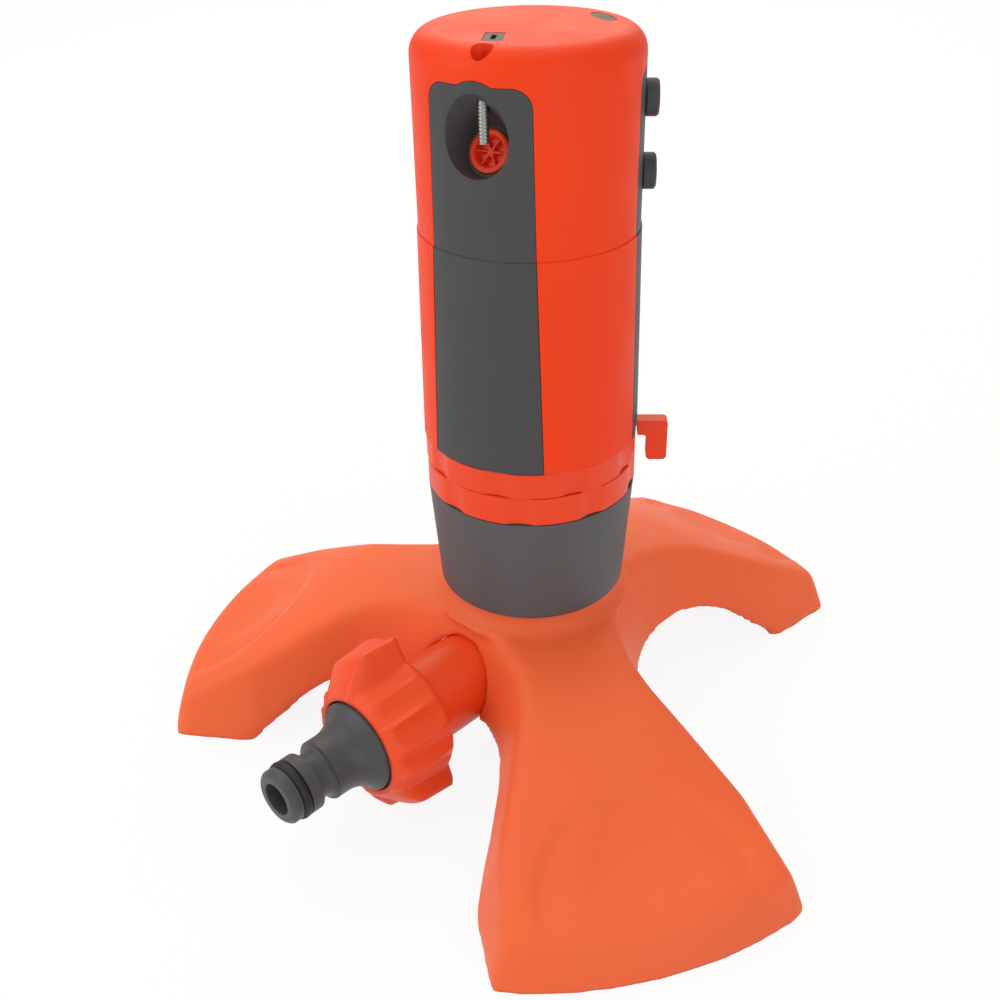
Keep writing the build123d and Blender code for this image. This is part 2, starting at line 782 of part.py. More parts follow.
with BuildPart() as coupling_nut:
    lip_back = nut_front - nut_lip_thickness
    bore = inlet_thread_radius + nut_thread_gap
    with BuildSketch(inlet_section):
        with BuildLine():
            Polyline(
                (nut_rear, bore),
                (nut_rear, nut_rear_radius),
                (nut_front - nut_bevel, nut_front_radius),
                (nut_front, nut_front_radius - nut_bevel),
                (nut_front, nut_lip_bore_radius),
                (lip_back, nut_lip_bore_radius),
                (lip_back, bore),
                (nut_rear, bore),
            )
        make_face()
    revolve(axis=inlet_axis)
    for angle in nut_flute_angles:
        reach = nut_rear_radius + nut_flute_radius - nut_flute_depth
        with BuildSketch(Plane.XZ.offset(nut_rear + nut_flute_end)):
            with Locations((reach * cos(radians(angle)), inlet_z + reach * sin(radians(angle)))):
                Circle(nut_flute_radius)
        extrude(amount=nut_front - nut_rear - 2 * nut_flute_end, mode=Mode.SUBTRACT)
    wing_rear = nut_rear + nut_wing_rear_inset
    wing_front = nut_front - nut_wing_front_inset
    wing_root = (bore + nut_front_radius) / 2
    for angle in nut_wing_angles:
        start = radians(angle - nut_wing_half_angle)
        wing_section = Plane(
            origin=(0, 0, inlet_z),
            x_dir=(0, -1, 0),
            z_dir=(sin(start), 0, -cos(start)),
        )
        with BuildSketch(wing_section):
            with BuildLine():
                Polyline(
                    (wing_rear, wing_root),
                    (wing_front, wing_root),
                    (wing_front, nut_front_radius + nut_lip_thickness / 4),
                    (wing_front - nut_wing_slope_length, nut_wing_radius),
                    (wing_rear, nut_wing_radius),
                    close=True,
                )
            make_face()
        revolve(axis=inlet_axis, revolution_arc=2 * nut_wing_half_angle)
save(coupling_nut.part, "coupling_nut")


# Arc setting rings with their stop tabs

def setting_ring(bottom_z, height, flute_angle, tab_angle):
    """One setting ring: a fluted band that grips the carrier's neck, with a stop tab."""
    with BuildPart() as ring:
        with BuildSketch(Plane.XY.offset(bottom_z)):
            Circle(ring_radius)
            flute_reach = ring_radius + ring_flute_radius - ring_flute_depth
            with PolarLocations(flute_reach, ring_flute_count, start_angle=flute_angle):
                Circle(ring_flute_radius, mode=Mode.SUBTRACT)
        extrude(amount=height)
        with BuildSketch(Plane.XY.offset(bottom_z + tab_inset)):
            tab_root = ring_radius - tab_root_depth
            with Locations(Location((*polar((tab_root + tab_reach) / 2, tab_angle), 0), (0, 0, tab_angle))):
                RectangleRounded(tab_reach - tab_root, tab_width, tab_round)
        extrude(amount=height - 2 * tab_inset)
        with BuildSketch(Plane.XY.offset(bottom_z)):
            Circle(neck_radius + running_gap)
        extrude(amount=height, mode=Mode.SUBTRACT)
    return ring.part


lower_ring = setting_ring(lower_ring_z, ring_height, lower_ring_flute_angle, lower_tab_angle)
upper_ring = setting_ring(upper_ring_z, upper_ring_height, upper_ring_flute_angle, upper_tab_angle)
save(lower_ring, "lower_arc_ring")
save(upper_ring, "upper_arc_ring")


# Grey panels: each fills a pocket of the same outline

def panel_blank(angle, half_angles, levels, radii, round_top, grow=0.0):
    """Curved plate at a shell's outer surface: an outline seen square on, cut out of a thin tube."""
    half_bottom, half_top = half_angles
    bottom_z, top_z = levels
    bottom_radius, top_radius = radii
    left_bottom = bottom_radius * sin(radians(half_bottom)) + grow
    left_top = top_radius * sin(radians(half_top)) + grow
    depth = panel_depth - (0 if grow else running_gap)
    overlap = panel_depth
    lean = (top_radius - bottom_radius) / (top_z - bottom_z)
    low_radius = bottom_radius - lean * overlap
    high_radius = top_radius + lean * overlap
    with BuildPart() as blank:
        with BuildSketch(Plane.XZ):
            with BuildLine():
                Polyline(
                    (low_radius - depth, bottom_z - overlap),
                    (low_radius + grow, bottom_z - overlap),
                    (high_radius + grow, top_z + overlap),
                    (high_radius - depth, top_z + overlap),
                    close=True,
                )
            make_face()
        revolve(axis=Axis.Z)
        with BuildSketch(radial_plane(angle)):
            with BuildLine():
                Polyline(
                    (-left_bottom, bottom_z),
                    (left_bottom, bottom_z),
                    (left_top, top_z + grow),
                    (-left_top, top_z + grow),
                    close=True,
                )
            outline = make_face()
            if round_top:
                fillet(outline.vertices().group_by(Axis.Y)[-1], radius=panel_corner_round)
        extrude(amount=2 * bottom_radius, mode=Mode.INTERSECT)
    return blank.part


body_levels = (body_bottom_z, seam_z)
body_radii = (body_foot_radius, body_radius)
head_radii = (head_radius, head_radius)
side_half_angles = (side_panel_half_angle, side_panel_half_angle)
body_front = (nozzle_angle, (front_panel_half_bottom, front_panel_half_seam), body_levels, body_radii)
body_side = (side_panel_angle, side_half_angles, body_levels, body_radii)
head_front_half_angles = (front_panel_half_seam, front_panel_half_top)
head_front = (nozzle_angle, head_front_half_angles, (seam_z, front_panel_top_z), head_radii)
head_side = (side_panel_angle, side_half_angles, (seam_z, side_panel_top_z), head_radii)

# Opening that the trip lever swings in: it runs through wall and side panel
lever_clear_z = neck_top_z + lever_side_gap + lever_ring_thickness + 2 * lever_side_gap

with BuildPart() as lever_opening:
    with BuildSketch(radial_plane(lever_angle, neck_bore_radius)):
        with BuildLine():
            Polyline(
                (-lever_opening_half_width, body_bottom_z - 1),
                (lever_opening_half_width, body_bottom_z - 1),
                (lever_opening_half_width, lever_clear_z),
                (-lever_opening_half_width, lever_clear_z),
                close=True,
            )
        opening = make_face()
        fillet(opening.vertices().group_by(Axis.Y)[-1], radius=lever_opening_round)
    extrude(amount=body_radius)

with BuildPart() as body_front_panel:
    add(panel_blank(*body_front, round_top=False))
save(body_front_panel.part, "body_front_panel")

with BuildPart() as body_side_panel:
    add(panel_blank(*body_side, round_top=False))
    add(lever_opening.part, mode=Mode.SUBTRACT)
save(body_side_panel.part, "body_side_panel")

# Turning body

lever_ring_z = neck_top_z + lever_side_gap
lever_recess_top = lever_ring_z + lever_ring_thickness + lever_side_gap
post_reach = (lever_ring_radius + lever_ring_bore) / 2
post_angle = lever_angle + 180
stator_ledge_radius = shell_bore - stator_ledge

with BuildPart() as body_shell:
    with BuildSketch(Plane.XY.offset(body_bottom_z)):
        Circle(body_foot_radius)
    extrude(amount=seam_z - body_bottom_z, taper=body_draft)
    with BuildSketch(Plane.XY.offset(body_floor_z)):
        Circle(stator_ledge_radius)
    extrude(amount=stator_bottom_z - body_floor_z, mode=Mode.SUBTRACT)
    with BuildSketch(Plane.XY.offset(stator_bottom_z)):
        Circle(shell_bore)
    extrude(amount=seam_z - stator_bottom_z, mode=Mode.SUBTRACT)
    with BuildSketch(Plane.XY.offset(body_bottom_z)):
        Circle(sleeve_radius - sleeve_step)
    extrude(amount=body_floor_z - body_bottom_z, mode=Mode.SUBTRACT)
    # Recess for the trip lever's ring, its opening, and the slot that its post runs in
    with BuildSketch(Plane.XY.offset(body_bottom_z)):
        Circle(lever_ring_radius + lever_side_gap)
        Circle(lever_ring_bore - lever_side_gap, mode=Mode.SUBTRACT)
    extrude(amount=lever_recess_top - body_bottom_z, mode=Mode.SUBTRACT)
    add(lever_opening.part, mode=Mode.SUBTRACT)
    with BuildSketch(Plane.XY.offset(body_bottom_z)):
        with BuildLine(mode=Mode.PRIVATE):
            post_path = CenterArc((0, 0), post_reach, post_angle - lever_swing, 2 * lever_swing)
        SlotArc(post_path, 2 * (lever_post_radius + lever_side_gap))
    extrude(amount=body_floor, mode=Mode.SUBTRACT)
    add(panel_blank(*body_front, round_top=False, grow=seam_gap), mode=Mode.SUBTRACT)
    add(panel_blank(*body_side, round_top=False, grow=seam_gap), mode=Mode.SUBTRACT)
save(body_shell.part, "body_shell")

# Bearing sleeve pressed up into the body's floor, which runs on the riser
with BuildPart() as bearing_sleeve:
    with BuildSketch(Plane.XY.offset(sleeve_bottom_z)):
        Circle(sleeve_radius)
    extrude(amount=body_bottom_z - sleeve_bottom_z)
    with BuildSketch(Plane.XY.offset(body_bottom_z)):
        Circle(sleeve_radius - sleeve_step)
    extrude(amount=body_floor_z - body_bottom_z)
    with BuildSketch(Plane.XY.offset(sleeve_bottom_z)):
        Circle(riser_radius + running_gap)
    extrude(amount=body_floor_z - sleeve_bottom_z, mode=Mode.SUBTRACT)
save(bearing_sleeve.part, "bearing_sleeve")

with BuildPart() as thrust_washer:
    with BuildSketch(Plane.XY.offset(body_floor_z)):
        Circle(thrust_washer_radius)
        Circle(riser_radius + 2 * seat_gap, mode=Mode.SUBTRACT)
    extrude(amount=thrust_washer_thickness)
save(thrust_washer.part, "thrust_washer")

with BuildPart() as riser_lip_seal:
    with BuildSketch(Plane.XY.offset(sleeve_bottom_z - lip_seal_height)):
        Circle(sleeve_radius)
        Circle(riser_radius + running_gap, mode=Mode.SUBTRACT)
    extrude(amount=lip_seal_height)
    chamfer(riser_lip_seal.edges().group_by(Axis.Z)[0].sort_by(SortBy.RADIUS)[-1], length=lip_seal_bevel)
save(riser_lip_seal.part, "riser_lip_seal")


# Trip lever and the flow shutter that it turns

shutter_z = stator_bottom_z - lever_side_gap - shutter_thickness

with BuildPart() as trip_lever:
    with BuildSketch(Plane.XY.offset(lever_ring_z)):
        Circle(lever_ring_radius)
        Circle(lever_ring_bore, mode=Mode.SUBTRACT)
    extrude(amount=lever_ring_thickness)
    with BuildSketch(section_plane(lever_angle)):
        with BuildLine():
            Polyline(
                (lever_ring_radius - hook_overlap, lever_ring_z),
                (hook_root, lever_ring_z),
                (hook_root, hook_bottom_z),
                (hook_leg_inner, hook_bottom_z),
                (hook_leg_inner, hook_tip_z),
                (hook_reach, hook_tip_z),
                (hook_reach, hook_top_z),
                (hook_root - hook_root_gap, hook_top_z),
                (hook_root - hook_root_gap - hook_slope, lever_ring_z + lever_ring_thickness),
                (lever_ring_radius - hook_overlap, lever_ring_z + lever_ring_thickness),
                close=True,
            )
        hook = make_face()
        hook_ends = (hook_leg_inner - seat_gap, hook_reach + seat_gap)
        hook_corners = hook.vertices().filter_by_position(Axis.X, *hook_ends)
        fillet(hook_corners, radius=hook_round)
    extrude(amount=lever_width / 2, both=True)
    with BuildSketch(Plane.XY.offset(lever_ring_z)):
        with Locations(polar(post_reach, post_angle)):
            Circle(lever_post_radius)
    extrude(amount=shutter_z + shutter_thickness - lever_ring_z)
save(trip_lever.part, "trip_lever")

port_spread = lever_swing
with BuildPart() as flow_shutter:
    with BuildSketch(Plane.XY.offset(shutter_z)):
        Circle(stator_ledge_radius - lever_side_gap)
        Circle(shutter_bore_radius, mode=Mode.SUBTRACT)
        with PolarLocations(port_reach, port_count, start_angle=lever_angle):
            Circle(port_radius, mode=Mode.SUBTRACT)
        with Locations(polar(post_reach, post_angle)):
            Circle(lever_post_radius + running_gap, mode=Mode.SUBTRACT)
    extrude(amount=shutter_thickness)
save(flow_shutter.part, "flow_shutter")


# Flow plate: slanted ports either way round, which the shutter opens in turn

with BuildPart() as stator_plate:
    with BuildSketch(Plane.XY.offset(stator_bottom_z)):
        Circle(shell_bore - seat_gap)
        Circle(pin_radius + stator_bore_gap, mode=Mode.SUBTRACT)
    extrude(amount=stator_thickness)
    for side in (-1, 1):
        for step in range(port_count):
            angle = lever_angle + side * port_spread + step * 360 / port_count
            x, y = polar(port_reach, angle)
            lean = radians(30) * side
            port_plane = Plane(
                origin=(x, y, stator_bottom_z - 2),
                x_dir=(cos(radians(angle)), sin(radians(angle)), 0),
                z_dir=(-sin(radians(angle)) * sin(lean), cos(radians(angle)) * sin(lean), cos(lean)),
            )
            with BuildSketch(port_plane):
                Circle(port_radius / 2)
            extrude(amount=3 * stator_thickness, mode=Mode.SUBTRACT)
save(stator_plate.part, "stator_plate")


# Gears

def involute(angle):
    """Involute function of a pressure angle in radians."""
    return tan(angle) - angle


def gear_outline(teeth, shift, phase):
    """Closed outline of a spur gear: involute flanks, round tips and roots."""
    pitch_radius = gear_module * teeth / 2
    base_radius = pitch_radius * cos(radians(pressure_angle))
    tip_radius = pitch_radius + gear_module * (tooth_addendum + shift)
    root_radius = pitch_radius - gear_module * (tooth_dedendum - shift)
    start_radius = max(root_radius, base_radius)
    half_pitch_tooth = pi / (2 * teeth) + 2 * shift * tan(radians(pressure_angle)) / teeth
    half_pitch_tooth -= tooth_backlash / 4 / pitch_radius

    def half_tooth(radius):
        local = acos(min(1.0, base_radius / radius))
        return degrees(half_pitch_tooth + involute(radians(pressure_angle)) - involute(local))

    middle_radius = (start_radius + tip_radius) / 2
    for tooth in range(teeth):
        centre = phase + tooth * 360 / teeth
        after = centre + 360 / teeth
        foot = half_tooth(start_radius)
        rise = [polar(root_radius, centre - foot), polar(start_radius, centre - foot)]
        fall = [polar(start_radius, centre + foot), polar(root_radius, centre + foot)]
        if start_radius - root_radius > 0.01:
            Line(rise[0], rise[1])
            Line(fall[0], fall[1])
        else:
            rise[1] = rise[0]
            fall[0] = fall[1]
        tip_rise = polar(tip_radius, centre - half_tooth(tip_radius))
        tip_fall = polar(tip_radius, centre + half_tooth(tip_radius))
        middle = half_tooth(middle_radius)
        ThreePointArc(rise[1], polar(middle_radius, centre - middle), tip_rise)
        Line(tip_rise, tip_fall)
        ThreePointArc(tip_fall, polar(middle_radius, centre + middle), fall[0])
        Line(fall[1], polar(root_radius, after - foot))


def mesh_phase(teeth, phase, heading, mating_teeth):
    """Turn of a mating gear that puts its tooth gap on this gear's tooth, along a heading."""
    share = ((heading - phase) * teeth / 360) % 1
    return heading + 180 - (0.5 - share) * 360 / mating_teeth


def level(number):
    """Height of a mesh's lower face."""
    return gear_level_z + (number - 1) * gear_level_pitch


centre_heading = offset_pin_angle
fixed_phase = 0.0
phase_c = mesh_phase(wheel_teeth, fixed_phase, centre_heading, pinion_teeth)
phase_b = mesh_phase(wheel_teeth, phase_c, centre_heading + 180, pinion_teeth)
phase_a = mesh_phase(wheel_teeth, phase_b, centre_heading, pinion_teeth)
phase_turbine = mesh_phase(wheel_teeth, phase_a, centre_heading + 180, pinion_teeth)


def toothed_disc(teeth, shift, phase, bottom_z, height):
    """A gear blank on the turning axis."""
    with BuildPart() as disc:
        with BuildSketch(Plane.XY.offset(bottom_z)):
            with BuildLine():
                gear_outline(teeth, shift, phase)
            make_face()
        extrude(amount=height)
    return disc.part


def gear_pair(wheel_level, phase, x, y):
    """Wheel with a pinion above it and a short boss below, running on a pin at x, y."""
    wheel = toothed_disc(wheel_teeth, -profile_shift, phase, level(wheel_level), gear_face)
    pinion_z = level(wheel_level) + gear_face
    pinion = toothed_disc(pinion_teeth, profile_shift, phase, pinion_z, gear_level_pitch)
    boss_height = gear_level_pitch - gear_face - gear_side_gap
    with BuildPart() as pair:
        add(wheel)
        add(pinion)
        with BuildSketch(Plane.XY.offset(level(wheel_level) - boss_height)):
            Circle(hub_boss_radius)
        extrude(amount=boss_height)
        with BuildSketch(Plane.XY.offset(level(wheel_level) - boss_height)):
            Circle(pin_radius + running_gap)
        extrude(amount=2 * gear_level_pitch + boss_height, mode=Mode.SUBTRACT)
    return pair.part.moved(Location((x, y, 0)))


save(gear_pair(1, phase_a, offset_pin_x, offset_pin_y), "first_gear")
save(gear_pair(2, phase_b, 0, 0), "second_gear")
save(gear_pair(3, phase_c, offset_pin_x, offset_pin_y), "third_gear")

fixed_gear_z = level(4)
with BuildPart() as fixed_gear:
    add(toothed_disc(wheel_teeth, -profile_shift, fixed_phase, fixed_gear_z, gear_face))
    with BuildSketch(Plane.XY.offset(fixed_gear_z - gear_level_pitch + gear_face + gear_side_gap)):
        Circle(hub_boss_radius)
    extrude(amount=gear_level_pitch - gear_side_gap + fixed_boss_proud)
    with BuildSketch(Plane.XY.offset(fixed_gear_z - gear_level_pitch)):
        Circle(pin_radius)
    extrude(amount=3 * gear_level_pitch, mode=Mode.SUBTRACT)
save(fixed_gear.part, "fixed_gear")

# Turbine, with the train's first pinion on its hub

turbine_shaft_top = gear_level_z - gear_side_gap
with BuildPart() as turbine:
    with BuildSketch(Plane.XY.offset(turbine_bottom_z)):
        Circle(turbine_hub_radius)
    extrude(amount=turbine_shaft_top - turbine_bottom_z)
    disc_z = turbine_bottom_z + (turbine_height - turbine_disc_thickness) / 2
    with BuildSketch(Plane.XY.offset(disc_z)):
        Circle(blade_inner_radius + blade_overlap)
    extrude(amount=turbine_disc_thickness)
    for blade in range(blade_count):
        slant = turbine_height / 2 * tan(radians(blade_lean))
        half = blade_thickness / 2 / cos(radians(blade_lean))
        with BuildSketch(radial_plane(blade * 360 / blade_count, blade_inner_radius)):
            with BuildLine():
                Polyline(
                    (-slant - half, turbine_bottom_z),
                    (-slant + half, turbine_bottom_z),
                    (slant + half, turbine_bottom_z + turbine_height),
                    (slant - half, turbine_bottom_z + turbine_height),
                    close=True,
                )
            make_face()
        extrude(amount=turbine_radius - blade_inner_radius - blade_end_gap)
    turbine_pinion_height = gear_face + gear_side_gap
    add(toothed_disc(pinion_teeth, profile_shift, phase_turbine, turbine_shaft_top, turbine_pinion_height))
    with BuildSketch(Plane.XY.offset(turbine_bottom_z)):
        Circle(pin_radius + running_gap)
    extrude(amount=gear_level_z + gear_face - turbine_bottom_z, mode=Mode.SUBTRACT)
save(turbine.part, "turbine")

# Centre pin and the spider that holds it in the riser's mouth

spider_z = riser_top_z - spider_thickness - spider_sink
with BuildPart() as pin_spider:
    with BuildSketch(Plane.XY.offset(spider_z)):
        Circle(riser_bore_radius)
        Circle(riser_bore_radius - spider_rim, mode=Mode.SUBTRACT)
        Circle(spider_boss_radius)
        with PolarLocations(riser_bore_radius / 2, spider_arm_count):
            Rectangle(riser_bore_radius - spider_rim / 2, spider_arm_width)
        Circle(pin_radius, mode=Mode.SUBTRACT)
    extrude(amount=spider_thickness)
save(pin_spider.part, "pin_spider")

pin_top_z = case_top_z + pin_top_rise
with BuildPart() as centre_pin:
    with BuildSketch(Plane.XY.offset(spider_z)):
        Circle(pin_radius)
    extrude(amount=pin_top_z - spider_z)
save(centre_pin.part, "centre_pin")

with BuildPart() as offset_pin:
    with BuildSketch(Plane.XY.offset(case_bottom_z + case_floor / 2)):
        with Locations((offset_pin_x, offset_pin_y)):
            Circle(pin_radius)
    extrude(amount=pin_top_z - case_bottom_z - case_floor / 2)
save(offset_pin.part, "offset_pin")

# Gear case, standing on the flow plate

foot_inner = turbine_radius + turbine_tip_gap
foot_outer = shell_bore - seat_gap
foot_bottom = stator_bottom_z + stator_thickness
case_floor_z = case_bottom_z + case_floor
with BuildPart() as gear_case:
    with BuildSketch(Plane.XY.offset(case_bottom_z)):
        Circle(case_radius)
    extrude(amount=case_top_z - case_bottom_z)
    with BuildSketch(Plane.XY.offset(case_floor_z)):
        Circle(case_radius - case_wall)
    extrude(amount=case_top_z - case_floor_z, mode=Mode.SUBTRACT)
    with BuildSketch(Plane.XY.offset(foot_bottom)):
        with PolarLocations((foot_inner + foot_outer) / 2, case_fin_count, start_angle=10):
            Rectangle(foot_outer - foot_inner, case_fin_thickness)
    extrude(amount=case_top_z - 3 - foot_bottom)
    with BuildSketch(Plane.XY.offset(case_floor_z)):
        with Locations((offset_pin_x, offset_pin_y)):
            Circle(hub_boss_radius)
    extrude(amount=level(1) - gear_level_pitch + gear_face - case_floor_z)
    with BuildSketch(Plane.XY.offset(case_bottom_z)):
        Circle(turbine_hub_radius + running_gap)
    extrude(amount=case_floor, mode=Mode.SUBTRACT)
    with BuildSketch(Plane.XY.offset(case_bottom_z + case_floor / 2)):
        with Locations((offset_pin_x, offset_pin_y)):
            Circle(pin_radius)
    extrude(amount=case_floor + 2, mode=Mode.SUBTRACT)
    with BuildSketch(Plane.XY.offset(foot_bottom)):
        Circle(case_radius - case_wall)
    extrude(amount=case_bottom_z - foot_bottom, mode=Mode.SUBTRACT)
save(gear_case.part, "gear_case")

with BuildPart() as gear_case_lid:
    with BuildSketch(Plane.XY.offset(case_top_z)):
        Circle(case_radius)
    extrude(amount=case_lid_thickness)
    lid_boss_z = fixed_gear_z + gear_face + gear_side_gap
    with BuildSketch(Plane.XY.offset(lid_boss_z)):
        with Locations((offset_pin_x, offset_pin_y)):
            Circle(hub_boss_radius)
    extrude(amount=case_top_z - lid_boss_z)
    with BuildSketch(Plane.XY.offset(lid_boss_z)):
        Circle(pin_radius + running_gap)
        with Locations((offset_pin_x, offset_pin_y)):
            Circle(pin_radius)
    extrude(amount=pin_top_z - lid_boss_z, mode=Mode.SUBTRACT)
save(gear_case_lid.part, "gear_case_lid")


# Nozzle direction, and the funnel that its jet leaves through

tilt = radians(nozzle_tilt)
nozzle_x, nozzle_y = polar(nozzle_face_reach, nozzle_angle)
jet_heading = (
    cos(tilt) * cos(radians(nozzle_angle)),
    cos(tilt) * sin(radians(nozzle_angle)),
    sin(tilt),
)
side_heading = (-sin(radians(nozzle_angle)), cos(radians(nozzle_angle)), 0)
nozzle_face = Plane(origin=(nozzle_x, nozzle_y, nozzle_face_z), x_dir=side_heading, z_dir=jet_heading)
funnel_length = 2 * (head_radius - nozzle_face_reach) / cos(tilt)


def funnel(grow, back):
    """Cone about the jet's axis, from a distance behind the nozzle's face to outside the head."""
    start_radius = recess_floor_radius + grow
    end_radius = start_radius + tan(radians(recess_flare)) * (funnel_length + back)
    with BuildPart() as cone:
        with Locations(nozzle_face.offset(-back)):
            Cone(
                start_radius,
                end_radius,
                funnel_length + back,
                align=(Align.CENTER, Align.CENTER, Align.MIN),
            )
    return cone.part


funnel_hollow = funnel(0.0, recess_floor_drop)
funnel_wall = funnel(recess_wall, recess_floor_drop + recess_wall)
funnel_pocket = funnel(recess_wall + seam_gap, recess_floor_drop + recess_wall + seam_gap)
screw_x, screw_y = polar(screw_reach, screw_angle)

# Head: orange shell, and grey front panel with the funnel in it

with BuildPart() as head_shell:
    with BuildSketch(Plane.XY.offset(seam_z)):
        Circle(head_radius)
    extrude(amount=head_top_z - seam_z)
    fillet(head_shell.edges().group_by(Axis.Z)[-1], radius=head_edge_round)
    with BuildSketch(Plane.XY.offset(seam_z)):
        Circle(head_bore)
    extrude(amount=head_top_z - head_roof - seam_z, mode=Mode.SUBTRACT)
    # Boss that the radius screw runs in, with the access hole above it
    with BuildSketch(Plane.XY.offset(nozzle_face_z)):
        with Locations((screw_x, screw_y)):
            Circle(screw_boss_radius)
        Circle(head_radius - panel_depth / 2, mode=Mode.INTERSECT)
    extrude(amount=head_top_z - head_roof - nozzle_face_z)
    with BuildSketch(Plane.XY.offset(nozzle_face_z)):
        with Locations((screw_x, screw_y)):
            Circle(screw_radius + running_gap)
    extrude(amount=head_top_z - nozzle_face_z, mode=Mode.SUBTRACT)
    with BuildSketch(Plane.XY.offset(screw_head_z)):
        with Locations((screw_x, screw_y)):
            Circle(access_hole_radius)
    extrude(amount=head_top_z - screw_head_z, mode=Mode.SUBTRACT)
    add(panel_blank(*head_front, round_top=True, grow=seam_gap), mode=Mode.SUBTRACT)
    add(panel_blank(*head_side, round_top=True, grow=seam_gap), mode=Mode.SUBTRACT)
    add(funnel_pocket, mode=Mode.SUBTRACT)
    # Seats for the spare nozzles and for the two inserts in the top
    for height in spare_heights:
        with BuildSketch(radial_plane(side_panel_angle, head_bore - spare_depth, height)):
            Circle(spare_tail_radius + spare_seat_wall)
        extrude(amount=spare_depth)
        seat_reach = head_bore - spare_depth + spare_seat_floor
        with BuildSketch(radial_plane(side_panel_angle, seat_reach, height)):
            Circle(spare_tail_radius + seat_gap)
        extrude(amount=spare_depth + shell_wall, mode=Mode.SUBTRACT)
    with BuildSketch(Plane.XY.offset(head_top_z - insert_depth)):
        slot_place = Location((*polar(slot_insert_reach, slot_insert_angle), 0), (0, 0, slot_insert_turn))
        with Locations(slot_place):
            Rectangle(slot_insert_length, slot_insert_width)
        mark_place = Location((*polar(mark_insert_reach, mark_insert_angle), 0), (0, 0, mark_insert_turn))
        with Locations(mark_place):
            Ellipse(mark_insert_length / 2, mark_insert_width / 2)
    extrude(amount=insert_depth, mode=Mode.SUBTRACT)
save(head_shell.part, "head_shell")

with BuildPart() as head_front_panel:
    add(panel_blank(*head_front, round_top=True))
    add(funnel_wall)
    with BuildSketch(Plane.XY.offset(seam_z)):
        Circle(head_radius)
    extrude(amount=head_top_z - seam_z, mode=Mode.INTERSECT)
    add(funnel_hollow, mode=Mode.SUBTRACT)
    with BuildSketch(nozzle_face.offset(-nozzle_length)):
        Circle(nozzle_radius + seat_gap)
    extrude(amount=nozzle_length, mode=Mode.SUBTRACT)
    with BuildSketch(Plane.XY.offset(nozzle_face_z)):
        with Locations((screw_x, screw_y)):
            Circle(screw_radius + 2 * seat_gap)
    extrude(amount=head_top_z - nozzle_face_z, mode=Mode.SUBTRACT)
    with BuildSketch(Plane.XY.offset(screw_head_z - face_gap)):
        with Locations((screw_x, screw_y)):
            Circle(access_hole_radius)
    extrude(amount=head_top_z - screw_head_z, mode=Mode.SUBTRACT)
save(head_front_panel.part, "head_front_panel")

with BuildPart() as head_side_panel:
    add(panel_blank(*head_side, round_top=True))
    for height in spare_heights:
        with BuildSketch(radial_plane(side_panel_angle, head_bore, height)):
            Circle(spare_tail_radius + seat_gap)
        extrude(amount=head_radius, mode=Mode.SUBTRACT)
save(head_side_panel.part, "head_side_panel")

spare_tail_reach = head_bore - spare_depth + spare_seat_floor + face_gap
spare_front_reach = head_radius + spare_proud


def spare_front_edge(edge):
    """True for the outer edge of a spare nozzle's front."""
    middle = edge.arc_center
    at_front = abs(hypot(middle.X, middle.Y) - spare_front_reach) < seat_gap
    return at_front and abs(edge.radius - spare_radius) < seat_gap


with BuildPart() as spare_nozzles:
    for height in spare_heights:
        with BuildSketch(radial_plane(side_panel_angle, spare_tail_reach, height)):
            Circle(spare_tail_radius)
        extrude(amount=spare_front_reach - spare_tail_reach)
        with BuildSketch(radial_plane(side_panel_angle, head_radius, height)):
            Circle(spare_radius)
        extrude(amount=spare_proud)
        with BuildSketch(radial_plane(side_panel_angle, spare_front_reach - spare_cup_depth, height)):
            Circle(spare_radius - nozzle_rim)
            Circle(nozzle_hub_radius, mode=Mode.SUBTRACT)
            with PolarLocations(0, nozzle_spokes):
                Rectangle(2 * spare_radius, nozzle_spoke_thickness, mode=Mode.SUBTRACT)
        extrude(amount=spare_cup_depth, mode=Mode.SUBTRACT)
    round_edges = spare_nozzles.edges().filter_by(GeomType.CIRCLE)
    chamfer(round_edges.filter_by(spare_front_edge), length=spare_chamfer)
save(spare_nozzles.part, "spare_nozzles")

with BuildPart() as nozzle:
    with BuildSketch(nozzle_face.offset(-nozzle_length)):
        Circle(nozzle_radius)
        Circle(nozzle_radius - nozzle_rim, mode=Mode.SUBTRACT)
    extrude(amount=nozzle_length)
    with BuildSketch(nozzle_face.offset(-nozzle_length / 2)):
        Circle(nozzle_hub_radius)
        with PolarLocations(0, nozzle_spokes):
            Rectangle(2 * nozzle_radius - nozzle_rim, nozzle_spoke_thickness)
    extrude(amount=nozzle_length / 2 - 0.5)
save(nozzle.part, "nozzle")

